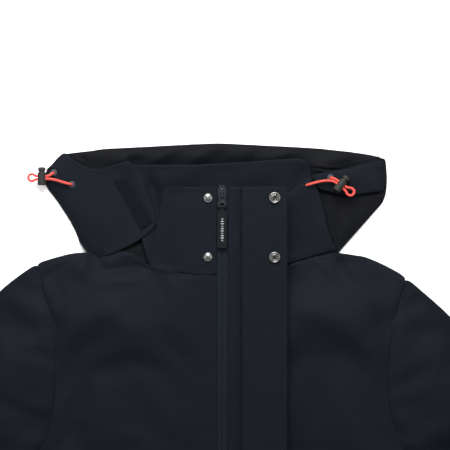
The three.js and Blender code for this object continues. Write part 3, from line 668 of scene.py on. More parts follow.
# How far the fronts' neck edge runs on under the hood's ends: at these distances from the zip, in
# metres, by these lengths, in millimetres.
neck_reach = {"right": ((0.084, 0.100, 0.130, 0.146, 0.156, 0.170), (0, 16, 13, 8, 3, 0)),
              "left": ((0.070, 0.080, 0.098, 0.122, 0.134, 0.150, 0.165), (0, 9, 14, 10, 6, 2, 0))}
hem_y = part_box("right_front_panel")[0].y
front_tops = {}
for side, sign in (("right", -1), ("left", 1)):
    outlines = {part: as_laid(rounded(top_loops(f"{side}_{part}")[0], cell))
                for part in ("front_panel", "sleeve_front", "sleeve_back")}
    back_outline = as_laid(rounded(top_loops("back_panel")[0], cell))
    collar_outline = rounded(top_loops(f"collar_{side}_front")[0], cell)
    hood_outline = rounded(top_loops("hood_back")[0], cell)
    # Its neck edge runs on under the end of the hood.
    neck = outlines["front_panel"]
    at_hood = (off(neck, hood_outline) < 0.006) | (neck[:, 1] > 0.012)
    neck[:, 1] += at_hood * np.interp(np.abs(neck[:, 0]), *neck_reach[side]) / 1000
    outlines["front_panel"] = rounded(neck, cell)

    hem_line = [(sign * x, hem_y + hem_rise) for x in (0.012, 0.09, 0.18, 0.262)]
    panel = Cut([outlines["front_panel"]], cell, [yoke[side], hem_line])
    panel.lie_on(top_of(f"{side}_front_panel"))
    rest = panel.z.copy()
    held = (panel.rim < 0.004) | (np.abs(panel.plan[:, 0]) < zip_side)
    rise = slacken(panel, held, 0.014)
    panel.z += np.clip(rise, -0.006, np.where(np.abs(panel.plan[:, 0]) < 0.078, 0.003, 0.010))
    panel.even(1)
    level = np.clip((np.abs(panel.plan[:, 0]) - zip_side) / 0.05, 0, 1)
    panel.ripple(0.11, 0.0030 * level, 3 + sign).ripple(0.045, 0.0010 * level, 7 + sign)
    panel.fold(*neck_folds[side]).seam()
    # Round the pocket the cloth keeps level, so that its flap can be laid back.
    over_x, over_y = (np.abs(panel.plan[:, 0]) - 0.177) / 0.065, (panel.plan[:, 1] + 0.405) / 0.060
    panel.z -= np.exp(-over_x ** 6 - over_y ** 6) * np.maximum(panel.z - rest + 0.0006, 0)
    hood_end = as_laid(top_loops(f"hood_{side}_wing")[0])
    beyond_end = off(panel.plan, hood_end) * ~within(panel.plan, [hood_end])
    from_zip = np.abs(panel.plan[:, 0])
    near_end = (beyond_end < 0.03) & (panel.plan[:, 1] > -0.02) & (from_zip > neck_reach[side][0][0])
    wing_height = top_of(f"hood_{side}_wing")
    roof = np.array([wing_height(*p) if near else 1 for p, near in zip(panel.plan, near_end)])
    panel.z = np.minimum(panel.z, roof - 0.0023 + 0.7 * beyond_end)
    panel.z = np.where(near_end, np.maximum(panel.z, 0.0040), panel.z)
    panel.wrap([back_outline], [outlines["sleeve_front"], collar_outline, hood_outline])
    piece = panel.sewn(f"{side}_front", shell, "shell")
    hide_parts(f"{side}_front_panel")

    arm_loop = tucked(outlines["sleeve_front"], [outlines["front_panel"]], 0.0045, inside=0)
    from_head = np.linalg.norm(arm_loop - arm_loop[np.argmax(arm_loop[:, 1])], axis=1)
    arm_loop[:, 1] -= 0.0010 * np.exp(-(from_head / 0.012) ** 2)
    arm = Cut([arm_loop], cell)
    arm.lie_on(top_of(f"{side}_sleeve_front"))
    arm.z += np.clip(slacken(arm, arm.rim < 0.004, 0.03), -0.007, 0.010)
    arm.even(1)
    soft = np.clip(arm.rim / 0.03, 0, 1)
    arm.ripple(0.09, 0.004 * soft, 11 + sign).ripple(0.04, 0.0015 * soft, 17 + sign, (1, 0.6))
    arm.wrap([outlines["sleeve_back"]], [outlines["front_panel"]])
    at_armhole = off(arm.plan, outlines["front_panel"]) * ~within(arm.plan, [outlines["front_panel"]])
    arm.z -= 0.0021 * np.exp(-(at_armhole / 0.004) ** 2)
    sleeve = arm.sewn(f"{side}_sleeve_top", shell, "shell")
    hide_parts(f"{side}_sleeve_front")

    front_tops[side] = (panel.surface(), arm.surface())
    armhole = row(outlines["front_panel"], 0.0022,
                  lambda p: (off(p, outlines["sleeve_front"]) < 0.004) & (p[:, 1] < -0.008))
    hem_row = [np.array(hem_line) + (0, 0.0015)]
    yoke_row = [np.array(yoke[side])[:-1] + (0, -0.0025)]
    seams = stitches(f"{side}_front_stitching", armhole + hem_row + yoke_row, front_tops[side][0], thread)
    panel.declare()
    arm.declare()

# ---------- Back and undersides ----------
# The back of the body and of the sleeves lies flat on the table, lining side up. The fronts are
# turned down round its edge.
back_loop = as_laid(rounded(top_loops("back_panel")[0], 0.014))
for name, node in (("back", "back_panel"), ("right_sleeve_underside", "right_sleeve_back"),
                   ("left_sleeve_underside", "left_sleeve_back")):
    outline = as_laid(rounded(top_loops(node)[0], 0.014))
    meets = name != "back"
    outline = tucked(outline, [back_loop], 0.004) if meets else inset(outline, 0.0012)
    flat = Cut([outline], 0.014, rings=(0.003,))
    flat.z += 0.0012 if meets else 0.0014
    piece = flat.sewn(name, lining, "lining", 0.0009, under=shell)
    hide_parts(node)
    flat.declare()

# ---------- Collar ----------
# A stand collar of two layers. Its back lies folded flat, inner face up; its fronts go up beside
# the zip and fall away to the fold at each side.
collar_thick = 0.0024


def beaded(cut, height=0.0006, at=0.0022, width=0.0012):
    """A rolled edge: the turned-in layers make a low ridge just inside the rim."""
    cut.z += height * np.exp(-((cut.rim - at) / width) ** 2)
    return cut


collar_back = Cut([rounded(top_loops("collar_back")[0], 0.005, 6, 1.2)], 0.006)
collar_back.lie_on(top_of("collar_back"))
upper = np.clip((collar_back.plan[:, 1] - 0.095) / 0.03, 0, 1)
collar_back.z += 0.0035 * upper + 0.0015
collar_back.fold(((-96, 114), (-82, 82), (-74, 64), 3.5, 3.4), ((-80, 108), (-75, 84), (-70, 62), 5, -7),
                 ((-64, 116), (-62, 92), 6, 2.2),
                 ((-60, 100), (-20, 121), 14, 2.4), ((10, 98), (60, 124), 16, 2.4),
                 ((84, 96), (94, 122), 7, -3.6), ((-30, 100), (20, 112), 20, -1.8))
collar_back.ripple(0.05, 0.0010, 21)
beaded(collar_back)
piece = collar_back.sewn("collar_back_inside", shell, "lining", collar_thick, under=shell)
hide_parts("collar_back")
edging = stitches("collar_back_stitching",
                  row(collar_back.loops[0], 0.005, lambda p: p[:, 1] > 0.112),
                  collar_back.surface(), thread)
collar_back.declare()

for side, sign in (("right", -1), ("left", 1)):
    node = f"collar_{side}_front"
    stand_loop = rounded(top_loops(node)[0], 0.005)
    if side == "left":  # its lower outer corner is out of sight under the hood's end
        x, y = stand_loop.T
        corner = np.clip((x - 0.064) / 0.008, 0, 1) * np.clip((0.022 - y) / 0.012, 0, 1)
        stand_loop[:, 1] += 0.010 * corner
    stand = Cut([stand_loop], 0.006)
    stand.lie_on(top_of(node))
    stand.ripple(0.035, 0.0006 * np.clip((np.abs(stand.plan[:, 0]) - 0.02) / 0.02, 0, 1), 31 + sign)
    beaded(stand, 0.0004)
    piece = stand.sewn(f"collar_{side}", shell, "shell", 0.0016)
    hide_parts(node)
    top_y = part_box(node)[1].y
    edging = stitches(f"collar_{side}_stitching",
                      row(stand.loops[0], 0.0045, lambda p: (p[:, 1] > top_y - 0.008)
                          | (np.abs(p[:, 0]) < 0.0125)), stand.surface(), thread)
    stand.declare()

# ---------- Hood ----------
# Folded down flat behind the collar: its back lies on the table, its crown makes the band along
# the top fold, and its two front ends are turned forward over the sides.
hood_back_loop = as_laid(rounded(top_loops("hood_back")[0], 0.006))
# The left side comes in straight from its corner to the neck.
corner, root = np.array((0.1835, 0.0830)), np.array((0.1285, 0.0210))
along = (root - corner) / np.linalg.norm(root - corner)
outside = (hood_back_loop - corner) @ np.array((along[1], -along[0]))
beyond = (hood_back_loop[:, 0] > root[0]) & (hood_back_loop[:, 1] < corner[1]) & (outside < 0.012)
hood_back_loop[beyond] -= outside[beyond, None] * np.array((along[1], -along[0]))
low_corner = np.linalg.norm(hood_back_loop - (-0.152, 0.024), axis=1)
hood_back_loop += np.exp(-(low_corner / 0.016) ** 2)[:, None] * (0.008, 0.003)
front_loops = [rounded(top_loops(f"{side}_front_panel")[0], 0.006) for side in ("right", "left")]
hood_back = Cut([tucked(hood_back_loop, front_loops, 0.005)], 0.007)
neck_near = np.min([off(hood_back.plan, loop) for loop in front_loops], axis=0)
hood_back.z += 0.0014 + 0.0011 * np.exp(-(neck_near / 0.012) ** 2)
hood_back.fold(((-146, 21), (-80, 27), 3.5, 6), ((-128, 15), (-80, 13), 3, 4),
               ((-100, 34), (-79, 22), 3, -1.5), ((128, 30), (150, 84), 6, 2.2),
               ((134, 34), (172, 88), 7, 1.6), ((118, 30), (124, 88), 5, 1.8),
               ((-168, 132), (-146, 118), 5, 2.2), ((-150, 134), (-140, 116), 4, 1.6))
hood_back.z = np.maximum(hood_back.z, 0.0013)
piece = hood_back.sewn("hood_outside", lining, "lining", 0.0011, under=shell)
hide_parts("hood_back")
hood_back.declare()

# Two thin turned edges of the crown show between the end of the collar and the cord tunnel.
edge_folds = [[(0.099, 0.1215), (0.118, 0.1190), (0.137, 0.1185)],
              [(0.100, 0.1165), (0.116, 0.1140), (0.130, 0.1135)]]
crown = Cut([as_laid(rounded(top_loops("hood_crown")[0], 0.006))], 0.006, edge_folds)
crown.lie_on(top_of("hood_crown"))
crown.fold(((-84, 122), (-50, 139), 6, 5), ((-40, 124), (-2, 142), 7, 5.5), ((6, 126), (40, 141), 7, 5),
           ((46, 128), (92, 138), 8, 5.5), ((-122, 122), (-96, 136), 6, 4.5),
           ((104, 122), (146, 132), 6, 4),
           ((-150, 130), (0, 134), 9, 2.4), ((0, 133), (150, 124), 9, 2.4),
           ((-166, 134), (-150, 120), 5, -3.5), ((-112, 136), (-90, 122), 6, -3.5),
           ((-2, 120), (24, 132), 6, -3.5),
           ((60, 122), (84, 134), 6, -2.5))
crown.fold(*[[*[(x * 1000, y * 1000) for x, y in line], 1.7, 3.2] for line in edge_folds])
crown.ripple(0.03, 0.0008, 43)
crown.wrap([hood_back_loop], drop=0.0022)
piece = crown.sewn("hood_crown_band", lining, "lining", 0.0012, under=shell)
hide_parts("hood_crown")
crown.declare()

wing_outer, *wing_holes = [rounded(loop, 0.005) for loop in top_loops("hood_right_wing")]
wing_outer = as_laid(wing_outer)
low_corner = np.linalg.norm(wing_outer - (-0.144, 0.028), axis=1)
wing_outer += np.exp(-(low_corner / 0.026) ** 2)[:, None] * (-0.005, -0.003)
right_wing = Cut([wing_outer, *wing_holes], 0.006)
right_wing.lie_on(top_of("hood_right_wing"))
free = np.clip((right_wing.plan[:, 0] + 0.150) / 0.06, 0, 1)
right_wing.z += 0.0018 * free * np.exp(-(right_wing.rim / 0.012) ** 2)
right_wing.fold(((-140, 110), (-134, 30), 7, 1.2), ((-168, 84), (-120, 30), 16, 1.6),
                ((-112, 116), (-98, 60), 9, -0.8))
right_wing.ripple(0.06, 0.0012, 47)
beaded(right_wing, 0.0005)
right_wing.wrap([hood_back_loop], drop=0.0042, reach=0.0045)
piece = right_wing.sewn("hood_right_end", shell, "shell", 0.0016)
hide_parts("hood_right_wing")
edging = stitches("hood_right_stitching",
                  row(right_wing.loops[0], 0.0055, lambda p: (p[:, 0] > -0.160) & (p[:, 1] > 0.04)),
                  right_wing.surface(), thread)
right_wing.declare()

# The left end is in two parts: the face, and the tunnel that the drawcord runs in.
tunnel_seam = [(98, 109), (103, 101), (108, 93.5)]
left_parts = {
    "face": [(46, 78), (73, 91), (91, 105), *tunnel_seam, (112, 78), (115, 61), (119.5, 41), (127, 27),
             (73, 12), (46, 6)],
    "tunnel": [*tunnel_seam[::-1], (111, 113), (123, 114), (141, 118), (179, 126), (180, 106), (177, 92),
               (135, 86), (119, 92)],
}
wing_top = top_of("hood_left_wing")
for part, outline in left_parts.items():
    wing = Cut([as_laid(rounded(np.array(outline) / 1000, 0.005))], 0.006)
    wing.lie_on(wing_top)
    near_seam = np.exp(-(off(wing.plan, np.array(tunnel_seam) / 1000, False) / 0.006) ** 2)
    if part == "face":
        wing.z -= 0.0012 * near_seam
        # the outer edge is a free fold that stands up and throws a shadow
        wing.fold(((117, 26), (119, 44), (116, 66), 7, 2.4), ((60, 20), (104, 40), 14, -1.0),
                  ((52, 84), (100, 60), 16, 1.0))
    else:
        wing.fold(((126, 112), (176, 98), 9, 2.2), ((112, 107), (150, 110), 6, 1.4),
                  ((150, 92), (176, 120), 8, -1.2))
        wing.wrap([hood_back_loop], drop=0.0042, reach=0.0045)
    wing.ripple(0.05, 0.0009, 53)
    beaded(wing, 0.0005)
    piece = wing.sewn(f"hood_left_{part}", shell, "shell", 0.0016)
    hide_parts("hood_left_wing")
    keep = (lambda p: p[:, 1] < 0.08) if part == "face" else (lambda p: p[:, 1] > 0.0)
    edging = stitches(f"hood_left_{part}_stitching", row(wing.loops[0], 0.0045, keep),
                      wing.surface(), thread)
    wing.declare()

# ---------- Hook-and-loop strips ----------
# Black loop tape on the hood's right end and its hook tape on the collar, each sewn round its edge.
velcro = Finish("loop_pile", Sheen_Weight=0.01, Sheen_Roughness=0.6, Specular_IOR_Level=0.05)
pile = velcro.mottle(700, 5)
velcro.feed(Base_Color=velcro.mixed(pile * 2.2 - 0.6, (0.0003, 0.0005, 0.0009, 1),
                                    (0.0056, 0.0072, 0.0102, 1)),
            Roughness=pile * 0.15 + 0.8, Normal=velcro.bump(pile, 0.0004))


def pile_strip(name, node, seat, body="garment", lift=0.0010):
    strip = Cut([rounded(top_loops(node)[0], 0.0025, 1)], 0.0011, rings=(0.0008, 0.0022))
    strip.lie_on(seat, 3)
    rough = np.array([noise.noise(Vector((x * 900, y * 900, 5))) for x, y in strip.plan])
    strip.z += lift + np.where(strip.rim > 0.0021, 0.0007 + 0.00045 * rough, 0)
    piece = strip.sewn(name, velcro, "velcro", 0.0008, body, 0, under=velcro)
    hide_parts(node)
    sewn_round = stitches(name + "_stitching", row(strip.loops[0], 0.0014), strip.surface(), thread,
                          "velcro", body, 0.0026)
    strip.declare()


pile_strip("loop_strip", "hood_loop_patch", right_wing.surface())
pile_strip("hook_strip", "hood_hook_patch", top_of("collar_left_front"), lift=0.0013)

# ---------- Eyelets ----------
# Small pressed rings, grey, that line the drawcord's holes in the hood.
# There are two for each cord, which comes out of one and goes back into the other.
satin_grey = Finish("satin_grey", Specular_IOR_Level=0.2)
satin_grey.feed(Base_Color=satin_grey.mixed(satin_grey.mottle(500), (0.022, 0.028, 0.036, 1),
                                            (0.055, 0.064, 0.075, 1)),
                Roughness=satin_grey.mottle(300) * 0.2 + 0.35)


def turned(name, profile, place, finish, slot, body, segments=56):
    """A turned part: radius and height pairs in millimetres, from the axis or closed on itself."""
    vertices, faces = [], []
    count = len(profile)
    for k in range(segments):
        angle = 2 * math.pi * k / segments
        vertices += [(place[0] + r / 1000 * math.cos(angle), place[1] + r / 1000 * math.sin(angle),
                      place[2] + h / 1000) for r, h in profile]
    on_axis = profile[0][0] == 0
    for k in range(segments):
        after = (k + 1) % segments
        for i in range(count - 1 if on_axis else count):
            j = (i + 1) % count
            faces.append((k * count + i, after * count + i, after * count + j, k * count + j))
    piece = new_piece(name, vertices, faces, finish, slot, body)
    clean = bmesh.new()
    clean.from_mesh(piece.data)
    bmesh.ops.remove_doubles(clean, verts=clean.verts, dist=1e-7)
    bmesh.ops.dissolve_degenerate(clean, edges=clean.edges, dist=1e-7)
    bmesh.ops.recalc_face_normals(clean, faces=clean.faces)
    clean.to_mesh(piece.data)
    piece.data.set_sharp_from_angle(angle=math.radians(50))
    return piece


def round_profile(points, rounds=2):
    """Cuts the corners of a profile open at the axis; its two ends stay."""
    for _ in range(rounds):
        cut = [points[0]]
        for (ar, ah), (br, bh) in zip(points, points[1:]):
            cut += [(0.75 * ar + 0.25 * br, 0.75 * ah + 0.25 * bh),
                    (0.25 * ar + 0.75 * br, 0.25 * ah + 0.75 * bh)]
        points = cut + [points[-1]]
    return points


eyelet_profile = [(1.9, -1.6), (1.75, -0.4), (1.9, 0.0), (2.3, 0.25), (2.9, 0.2), (3.5, -0.2),
                  (3.75, -0.7), (3.6, -0.9), (2.4, -0.9), (2.3, -1.6)]
for node in ("right_hood_eyelet_1", "right_hood_eyelet_2", "left_hood_eyelet_1", "left_hood_eyelet_2"):
    low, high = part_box(node)
    centre = ((low.x + high.x) / 2, (low.y + high.y) / 2, high.z)
    ring = turned(node + "_ring", eyelet_profile, centre, satin_grey, "plastic", "garment")
    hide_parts(node)

# ---------- Placket ----------
# A strip of shell sewn on beside the zip; its outer side is folded up and carries the storm flap.
# It is as long as the flap.
placket_low, placket_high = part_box("placket")
hinge_x = frame["joints"][0]["pos_m"][0]
zip_end, zip_top = placket_low.y, placket_high.y
ridge_half = placket_high.x - hinge_x
channel = hinge_x + 0.0004  # between the strip and the fold, in the shadow of the flap's root
strip = Cut([rounded(np.array([(placket_low.x, zip_end), (channel, zip_end),
                               (channel, zip_top), (placket_low.x, zip_top)]), 0.004)],
            0.0045, rings=(0.001, 0.0026))
strip.z += placket_low.z + 0.0012
pucker = np.array([noise.noise(Vector((x * 60 + y * 26, y * 34 - x * 40, 2))) for x, y in strip.plan])
strip.z += 0.0014 * np.clip(pucker + 0.15, 0, 1) * np.clip(strip.rim / 0.003, 0, 1)
strip_piece = strip.sewn("placket_strip", shell, "shell", 0.0011)
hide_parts("placket")
edging = stitches("placket_stitching", row(strip.loops[0], 0.0014, lambda p: p[:, 0] < 0.0095),
                  strip.surface(), thread)
strip.declare()


def length_bar(name, section, ys, finish, slot, body, sway=None):
    """A closed X and Z section carried along Y; sway(y) gives a small shift in X and Z."""
    vertices = []
    for y in ys:
        dx, dz = sway(y) if sway else (0, 0)
        vertices += [(x + dx, y, z + dz) for x, z in section]
    n = len(section)
    faces = [(r * n + k, r * n + (k + 1) % n, (r + 1) * n + (k + 1) % n, (r + 1) * n + k)
             for r in range(len(ys) - 1) for k in range(n)]
    faces += [tuple(range(n))[::-1], tuple((len(ys) - 1) * n + k for k in range(n))]
    piece = new_piece(name, vertices, faces, finish, slot, body)
    tidy = bmesh.new()
    tidy.from_mesh(piece.data)
    bmesh.ops.recalc_face_normals(tidy, faces=tidy.faces)
    tidy.to_mesh(piece.data)
    piece.data.set_sharp_from_angle(angle=math.radians(60))
    return piece


def round_section(low, high, radius, steps=5):
    """A rectangle in X and Z with round corners."""
    (x0, z0), (x1, z1) = low, high
    return [(cx + radius * math.cos(a + math.pi / 2 * k / steps),
             cz + radius * math.sin(a + math.pi / 2 * k / steps))
            for cx, cz, a in ((x1 - radius, z0 + radius, -math.pi / 2), (x1 - radius, z1 - radius, 0),
                              (x0 + radius, z1 - radius, math.pi / 2),
                              (x0 + radius, z0 + radius, math.pi))
            for k in range(steps + 1)]


ridge = length_bar("placket_fold",
                   round_section((channel - 0.0004, placket_low.z),
                                 (hinge_x + ridge_half - 0.0002, placket_high.z - 0.0012), 0.0009),
                   np.arange(zip_end, zip_top + 0.001, 0.004), shell, "shell", "garment",
                   lambda y: (0.0004 * noise.noise(Vector((y * 40, 1, 1))), 0))
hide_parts("placket")

# ---------- Storm flap ----------
# Two layers of shell over a stiffener, 3 mm thick. Its root is rounded about the line on which it
# turns, so that it meets the fold of the placket open or closed.
flap_low, flap_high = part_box("storm_flap")
flap_root = hinge_x + 0.0010
flap_outline = np.array([(flap_root, flap_low.y), (flap_high.x, flap_low.y), (flap_high.x, flap_high.y),
                         (flap_root, flap_high.y)])
flap = Cut([rounded(flap_outline, 0.006)], 0.0075, rings=(0.0008, 0.0024, 0.005))
flap.z += flap_high.z
flap.ripple(0.07, 0.00035, 61)
beaded(flap, 0.0003, 0.0026, 0.0013)
flap_piece = flap.sewn("flap", shell, "shell", flap_high.z - flap_low.z, "storm_flap", under=shell)
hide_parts("storm_flap")
flap_seams = stitches("flap_stitching",
                      row(flap.loops[0], 0.005, lambda p: (p[:, 0] > 0.026) | (p[:, 1] > 0.09)),
                      flap.surface(), thread, body="storm_flap")
flap.declare()

# ---------- Zip ----------
# A reversed coil zip with a water-shedding tape: its two smooth lips meet over the hidden coil.
# The slider carries a pull tab with a rubber grip.
zip_tape = woven("coated_tape", (0.0048, 0.0071, 0.0102, 1), (0.0077, 0.0106, 0.0147, 1), 0.0006, 0.00003,
                 Specular_IOR_Level=0.07)
nylon = Finish("coil_nylon", Specular_IOR_Level=0.5)
nylon.feed(Base_Color=nylon.mixed(nylon.mottle(300), (0.010, 0.012, 0.014, 1), (0.020, 0.022, 0.025, 1)),
           Roughness=nylon.mottle(800) * 0.2 + 0.35)
for side, sign in (("right", -1), ("left", 1)):
    low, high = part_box(f"{side}_zip_tape")
    inner, outer = (min(abs(low.x), abs(high.x)), max(abs(low.x), abs(high.x)))
    top = high.z
    lips = [(inner - 0.0002, top - 0.0008), (inner - 0.00046, top - 0.0004), (inner - 0.0004, top),
            (inner - 0.0001, top + 0.00015), (inner + 0.0008, top + 0.00015),
            (inner + 0.0020, top), (inner + 0.0026, top - 0.0002), (inner + 0.0034, top - 0.0001),
            (outer, top - 0.0001), (outer, top - 0.0008)]
    tape = length_bar(f"{side}_tape", [(sign * x, z) for x, z in lips],
                      np.arange(low.y, high.y + 0.001, 0.006), zip_tape, "tape", "garment",
                      lambda y: (0, 0.0001 * noise.noise(Vector((y * 50, 3, sign)))))
    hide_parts(f"{side}_zip_tape")
    pitch, turn_points = 0.0014, 8
    coil_middle = ((inner + 0.0011) * sign, top - 0.0009 - 0.00075)
    angles = np.arange(0, (high.y - low.y - 0.004) / pitch * turn_points)
    turn = angles / turn_points * 2 * math.pi
    helix = np.stack([coil_middle[0] + 0.00095 * np.cos(turn),
                      low.y + 0.002 + angles / turn_points * pitch,
                      coil_middle[1] + 0.0005 * np.sin(turn)], 1)
    new_piece(f"{side}_coil", *tube(helix, 0.00022, 4), nylon, "tape")


def softened(node, name, finish, body, width, segments=3):
    """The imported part's own shape with its edges rounded off."""
    source = frame["nodes"][node].data
    shape = bmesh.new()
    shape.from_mesh(source)
    bmesh.ops.remove_doubles(shape, verts=shape.verts, dist=1e-6)
    bmesh.ops.dissolve_limit(shape, angle_limit=math.radians(1), verts=shape.verts, edges=shape.edges)
    mesh = bpy.data.meshes.new(name)
    shape.to_mesh(mesh)
    mesh.materials.clear()
    mesh.materials.append(finish.material)
    piece = bpy.data.objects.new(name, mesh)
    scene.collection.objects.link(piece)
    mesh.polygons.foreach_set("use_smooth", [True] * len(mesh.polygons))
    edge = piece.modifiers.new("edges", "BEVEL")
    edge.width = width
    edge.segments = segments
    edge.limit_method = "ANGLE"
    edge.angle_limit = math.radians(30)
    piece.modifiers.new("shading", "WEIGHTED_NORMAL")
    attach(piece, body)
    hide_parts(node)
    return piece


gunmetal = Finish("gunmetal", Metallic=0.85, Specular_IOR_Level=0.5, Coat_Roughness=0.2)
wear = gunmetal.mottle(420, 5)
gunmetal.feed(Base_Color=gunmetal.mixed(wear, (0.011, 0.014, 0.017, 1), (0.032, 0.038, 0.045, 1)),
              Roughness=wear * 0.25 + 0.28, Normal=gunmetal.bump(gunmetal.mottle(2500, 2), 0.00002))
softened("zip_slider", "slider", gunmetal, "zip_slider", 0.0005)
softened("pull_tab", "slider_tab", gunmetal, "pull_tab", 0.00035)
moulded = Finish("moulded_plastic", Specular_IOR_Level=0.15)
speck = moulded.mottle(1400, 3)
moulded.feed(Base_Color=moulded.mixed(speck, (0.010, 0.011, 0.010, 1), (0.024, 0.025, 0.022, 1)),
             Roughness=speck * 0.15 + 0.4, Normal=moulded.bump(speck, 0.00003))
softened("zip_retainer_box", "retainer_box", moulded, "garment", 0.0006)
for side in ("right", "left"):
    softened(f"{side}_zip_top_stop", f"{side}_stop", moulded, "garment", 0.0003)

# The puller is a soft rubber grip moulded on the tab's ring, with a row of raised ticks.
rubber = Finish("matt_rubber", Specular_IOR_Level=0.08)
bloom = rubber.mottle(260, 4)
rubber.feed(Base_Color=rubber.mixed(bloom, (0.0030, 0.0044, 0.0048, 1), (0.0062, 0.0082, 0.0088, 1)),
            Roughness=bloom * 0.15 + 0.6, Normal=rubber.bump(rubber.mottle(3000, 2), 0.00003))
softened("puller", "rubber_puller", rubber, "puller", 0.0006)
pale_print = Finish("pale_print", Roughness=0.6)
pale_print.feed(Base_Color=pale_print.mixed(pale_print.mottle(900), (0.26, 0.28, 0.30, 1),
                                            (0.44, 0.46, 0.48, 1)))
grip_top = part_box("placket")[0].z + 0.0022  # the grip and the placket lie on the same cloth
rib = round_section((-0.00045, -0.0002), (0.00045, 0.00022), 0.0002, 3)
ticks = bmesh.new()
first_tick, tick_pitch, ticks_middle = 0.0615, 0.00262, 0.0003
for k in range(10):
    half = 0.0015 if k % 3 else 0.0009
    at_y = first_tick - tick_pitch * k
    ends = (ticks_middle - half, ticks_middle + half)
    ring = [[ticks.verts.new((x, at_y + y, grip_top + z)) for y, z in rib] for x in ends]
    n = len(rib)
    for i in range(n):
        ticks.faces.new((ring[0][i], ring[0][(i + 1) % n], ring[1][(i + 1) % n], ring[1][i]))
    ticks.faces.new(ring[0])
    ticks.faces.new(ring[1])
bmesh.ops.recalc_face_normals(ticks, faces=ticks.faces)
tick_mesh = bpy.data.meshes.new("puller_ticks")
ticks.to_mesh(tick_mesh)
tick_mesh.materials.append(pale_print.material)
tick_piece = bpy.data.objects.new("puller_ticks", tick_mesh)
scene.collection.objects.link(tick_piece)
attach(tick_piece, "puller")

# ---------- Snap fasteners ----------
# Pressed brass, nickel plated: a stud and its post clinched through the right front, a cap and a
# spring socket through the flap.
nickel = Finish("nickel_plate", Metallic=1.0)
polish = nickel.mottle(260, 4)
nickel.feed(Base_Color=nickel.mixed(polish, (0.15, 0.15, 0.146, 1), (0.27, 0.266, 0.258, 1)),
            Roughness=polish * 0.2 + 0.16, Normal=nickel.bump(nickel.mottle(1500, 2), 0.00002))
stud_profile = round_profile([(0, 0.0), (4.8, 0.0), (5.0, 0.5), (4.6, 1.1), (3.9, 0.9), (3.2, 1.3),
                              (2.6, 1.6), (1.75, 1.9), (1.7, 2.9), (2.05, 3.9), (1.8, 5.2), (1.0, 5.5),
                              (0.7, 5.0), (0, 4.9)])
post_profile = round_profile([(0, 0.0), (3.4, 0.0), (4.4, 0.5), (4.4, 1.0), (1.7, 1.15),
                              (1.65, 3.2), (0, 3.2)])
socket_profile = round_profile([(0, 0.0), (6.4, 0.0), (6.65, 0.8), (6.0, 2.1), (5.2, 2.6), (4.5, 2.1),
                                (4.2, 1.3), (3.5, 1.2), (3.2, 2.0), (2.7, 2.2), (2.4, 1.8),
                                (2.3, 0.5), (0, 0.4)])
cap_profile = round_profile([(0, -1.9), (5.2, -1.8), (6.5, -1.0), (6.6, -0.2), (6.3, 0.0), (1.7, 0.0),
                             (1.6, 3.0), (0, 3.0)])
# Painted shade: a thin near-black disc in the socket's hole and in the stud's dimple stands for the shade
# inside them.
painted_shade_finish = Finish("snap_recess", Roughness=0.6, Specular_IOR_Level=0.1)
painted_shade_finish.feed(Base_Color=painted_shade_finish.mixed(painted_shade_finish.mottle(800), (0.008, 0.008, 0.007, 1),
                                              (0.030, 0.030, 0.026, 1)))
shade_disc_size = {"socket": (2.32, 0.75), "stud": (0.95, 5.3)}  # radius and floor of each painted shade disc, in millimetres
wire_x, wire_bow, wire_y, wire_rise = 0.0020, 0.0003, 0.0019, 0.0010
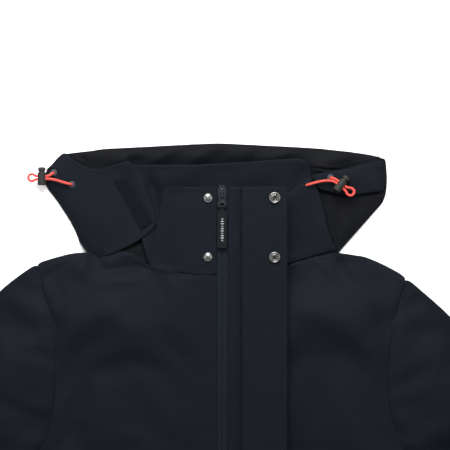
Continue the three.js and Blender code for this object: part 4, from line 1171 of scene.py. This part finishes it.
for k in range(1, 5):
    for part, profile, from_top in (("stud", stud_profile, False), ("post", post_profile, False),
                                    ("socket", socket_profile, False), ("cap", cap_profile, True)):
        node = f"snap_{part}_{k}"
        low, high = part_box(node)
        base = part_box("storm_flap")[0].z - 0.0003 if from_top else low.z
        body = "storm_flap" if part in ("socket", "cap") else "garment"
        x, y = (low.x + high.x) / 2, (low.y + high.y) / 2
        snap = turned(f"{part}_{k}", profile, (x, y, base), nickel, "metal", body)
        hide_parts(node)
        if part in shade_disc_size:
            radius, floor = shade_disc_size[part]
            # a thin dark disc at the floor of the hole, as painted shade
            recess = round_profile([(0, floor - 0.3), (radius, floor - 0.3), (radius, floor), (0, floor)])
            turned(f"{part}_recess_{k}", recess, (x, y, base), painted_shade_finish, "metal", body, 32)
        if part == "socket":
            # two spring wires cross the mouth and grip the stud's head
            for side, sign in (("right", -1), ("left", 1)):
                inner = x + sign * wire_x
                bend = through([(inner + sign * wire_bow, y - wire_y, low.z + wire_rise),
                                (inner, y, low.z + wire_rise),
                                (inner + sign * wire_bow, y + wire_y, low.z + wire_rise)], 0.0003)
                new_piece(f"spring_wire_{k}_{side}", *tube(bend, 0.00022, 8), nickel,
                          "metal", "storm_flap")

# ---------- Cord locks ----------
# Each is a barrel with a spring-loaded plunger; the cord passes through both.
# Pressing the plunger in frees the cord.
for side in ("right", "left"):
    softened(f"{side}_lock_barrel", f"{side}_barrel", moulded, f"{side}_lock", 0.0004)
    softened(f"{side}_lock_plunger", f"{side}_plunger", moulded, f"{side}_plunger", 0.0004)
    spring = frame["nodes"][f"{side}_lock_spring"]
    spring.data.materials.clear()
    spring.data.materials.append(nickel.material)

# ---------- Cuff tabs ----------
# A strap of shell at each cuff closes on a patch of loop tape sewn to the sleeve.
# It turns up off the patch from its free end.
for side in ("right", "left"):
    sleeve_top = front_tops[side][1]
    pile_strip(f"{side}_cuff_loop", f"{side}_cuff_patch", sleeve_top, lift=0.0012)
    strap = Cut([rounded(top_loops(f"{side}_cuff_tab")[0], 0.004, 3, 2)], 0.005)
    strap.lie_on(sleeve_top, 6)
    strap.z += 0.0042
    beaded(strap, 0.0004)
    piece = strap.sewn(f"{side}_cuff_strap", shell, "shell", 0.0014, f"{side}_cuff_tab")
    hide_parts(f"{side}_cuff_tab")
    edging = stitches(f"{side}_cuff_strap_stitching", row(strap.loops[0], 0.0035), strap.surface(),
                      thread, body=f"{side}_cuff_tab")
    strap.declare()

# ---------- Pocket flaps ----------
# Each covers a hand pocket and is sewn to the front along its upper edge only.
# It turns up about that edge to open the pocket.
for side in ("right", "left"):
    cover = Cut([rounded(top_loops(f"{side}_pocket_flap")[0], 0.005)], 0.006)
    cover.lie_on(front_tops[side][0], 8)
    from_seam = cover.loops[0][:, 1].max() - cover.plan[:, 1]
    cover.z += 0.0017 + 0.0011 * np.clip(from_seam / 0.006, 0, 1)
    beaded(cover, 0.0004)
    piece = cover.sewn(f"{side}_pocket_cover", shell, "shell", 0.0014, f"{side}_pocket_flap")
    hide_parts(f"{side}_pocket_flap")
    edging = stitches(f"{side}_pocket_cover_stitching",
                      row(cover.loops[0], 0.0045), cover.surface(), thread, body=f"{side}_pocket_flap")
    cover.declare()
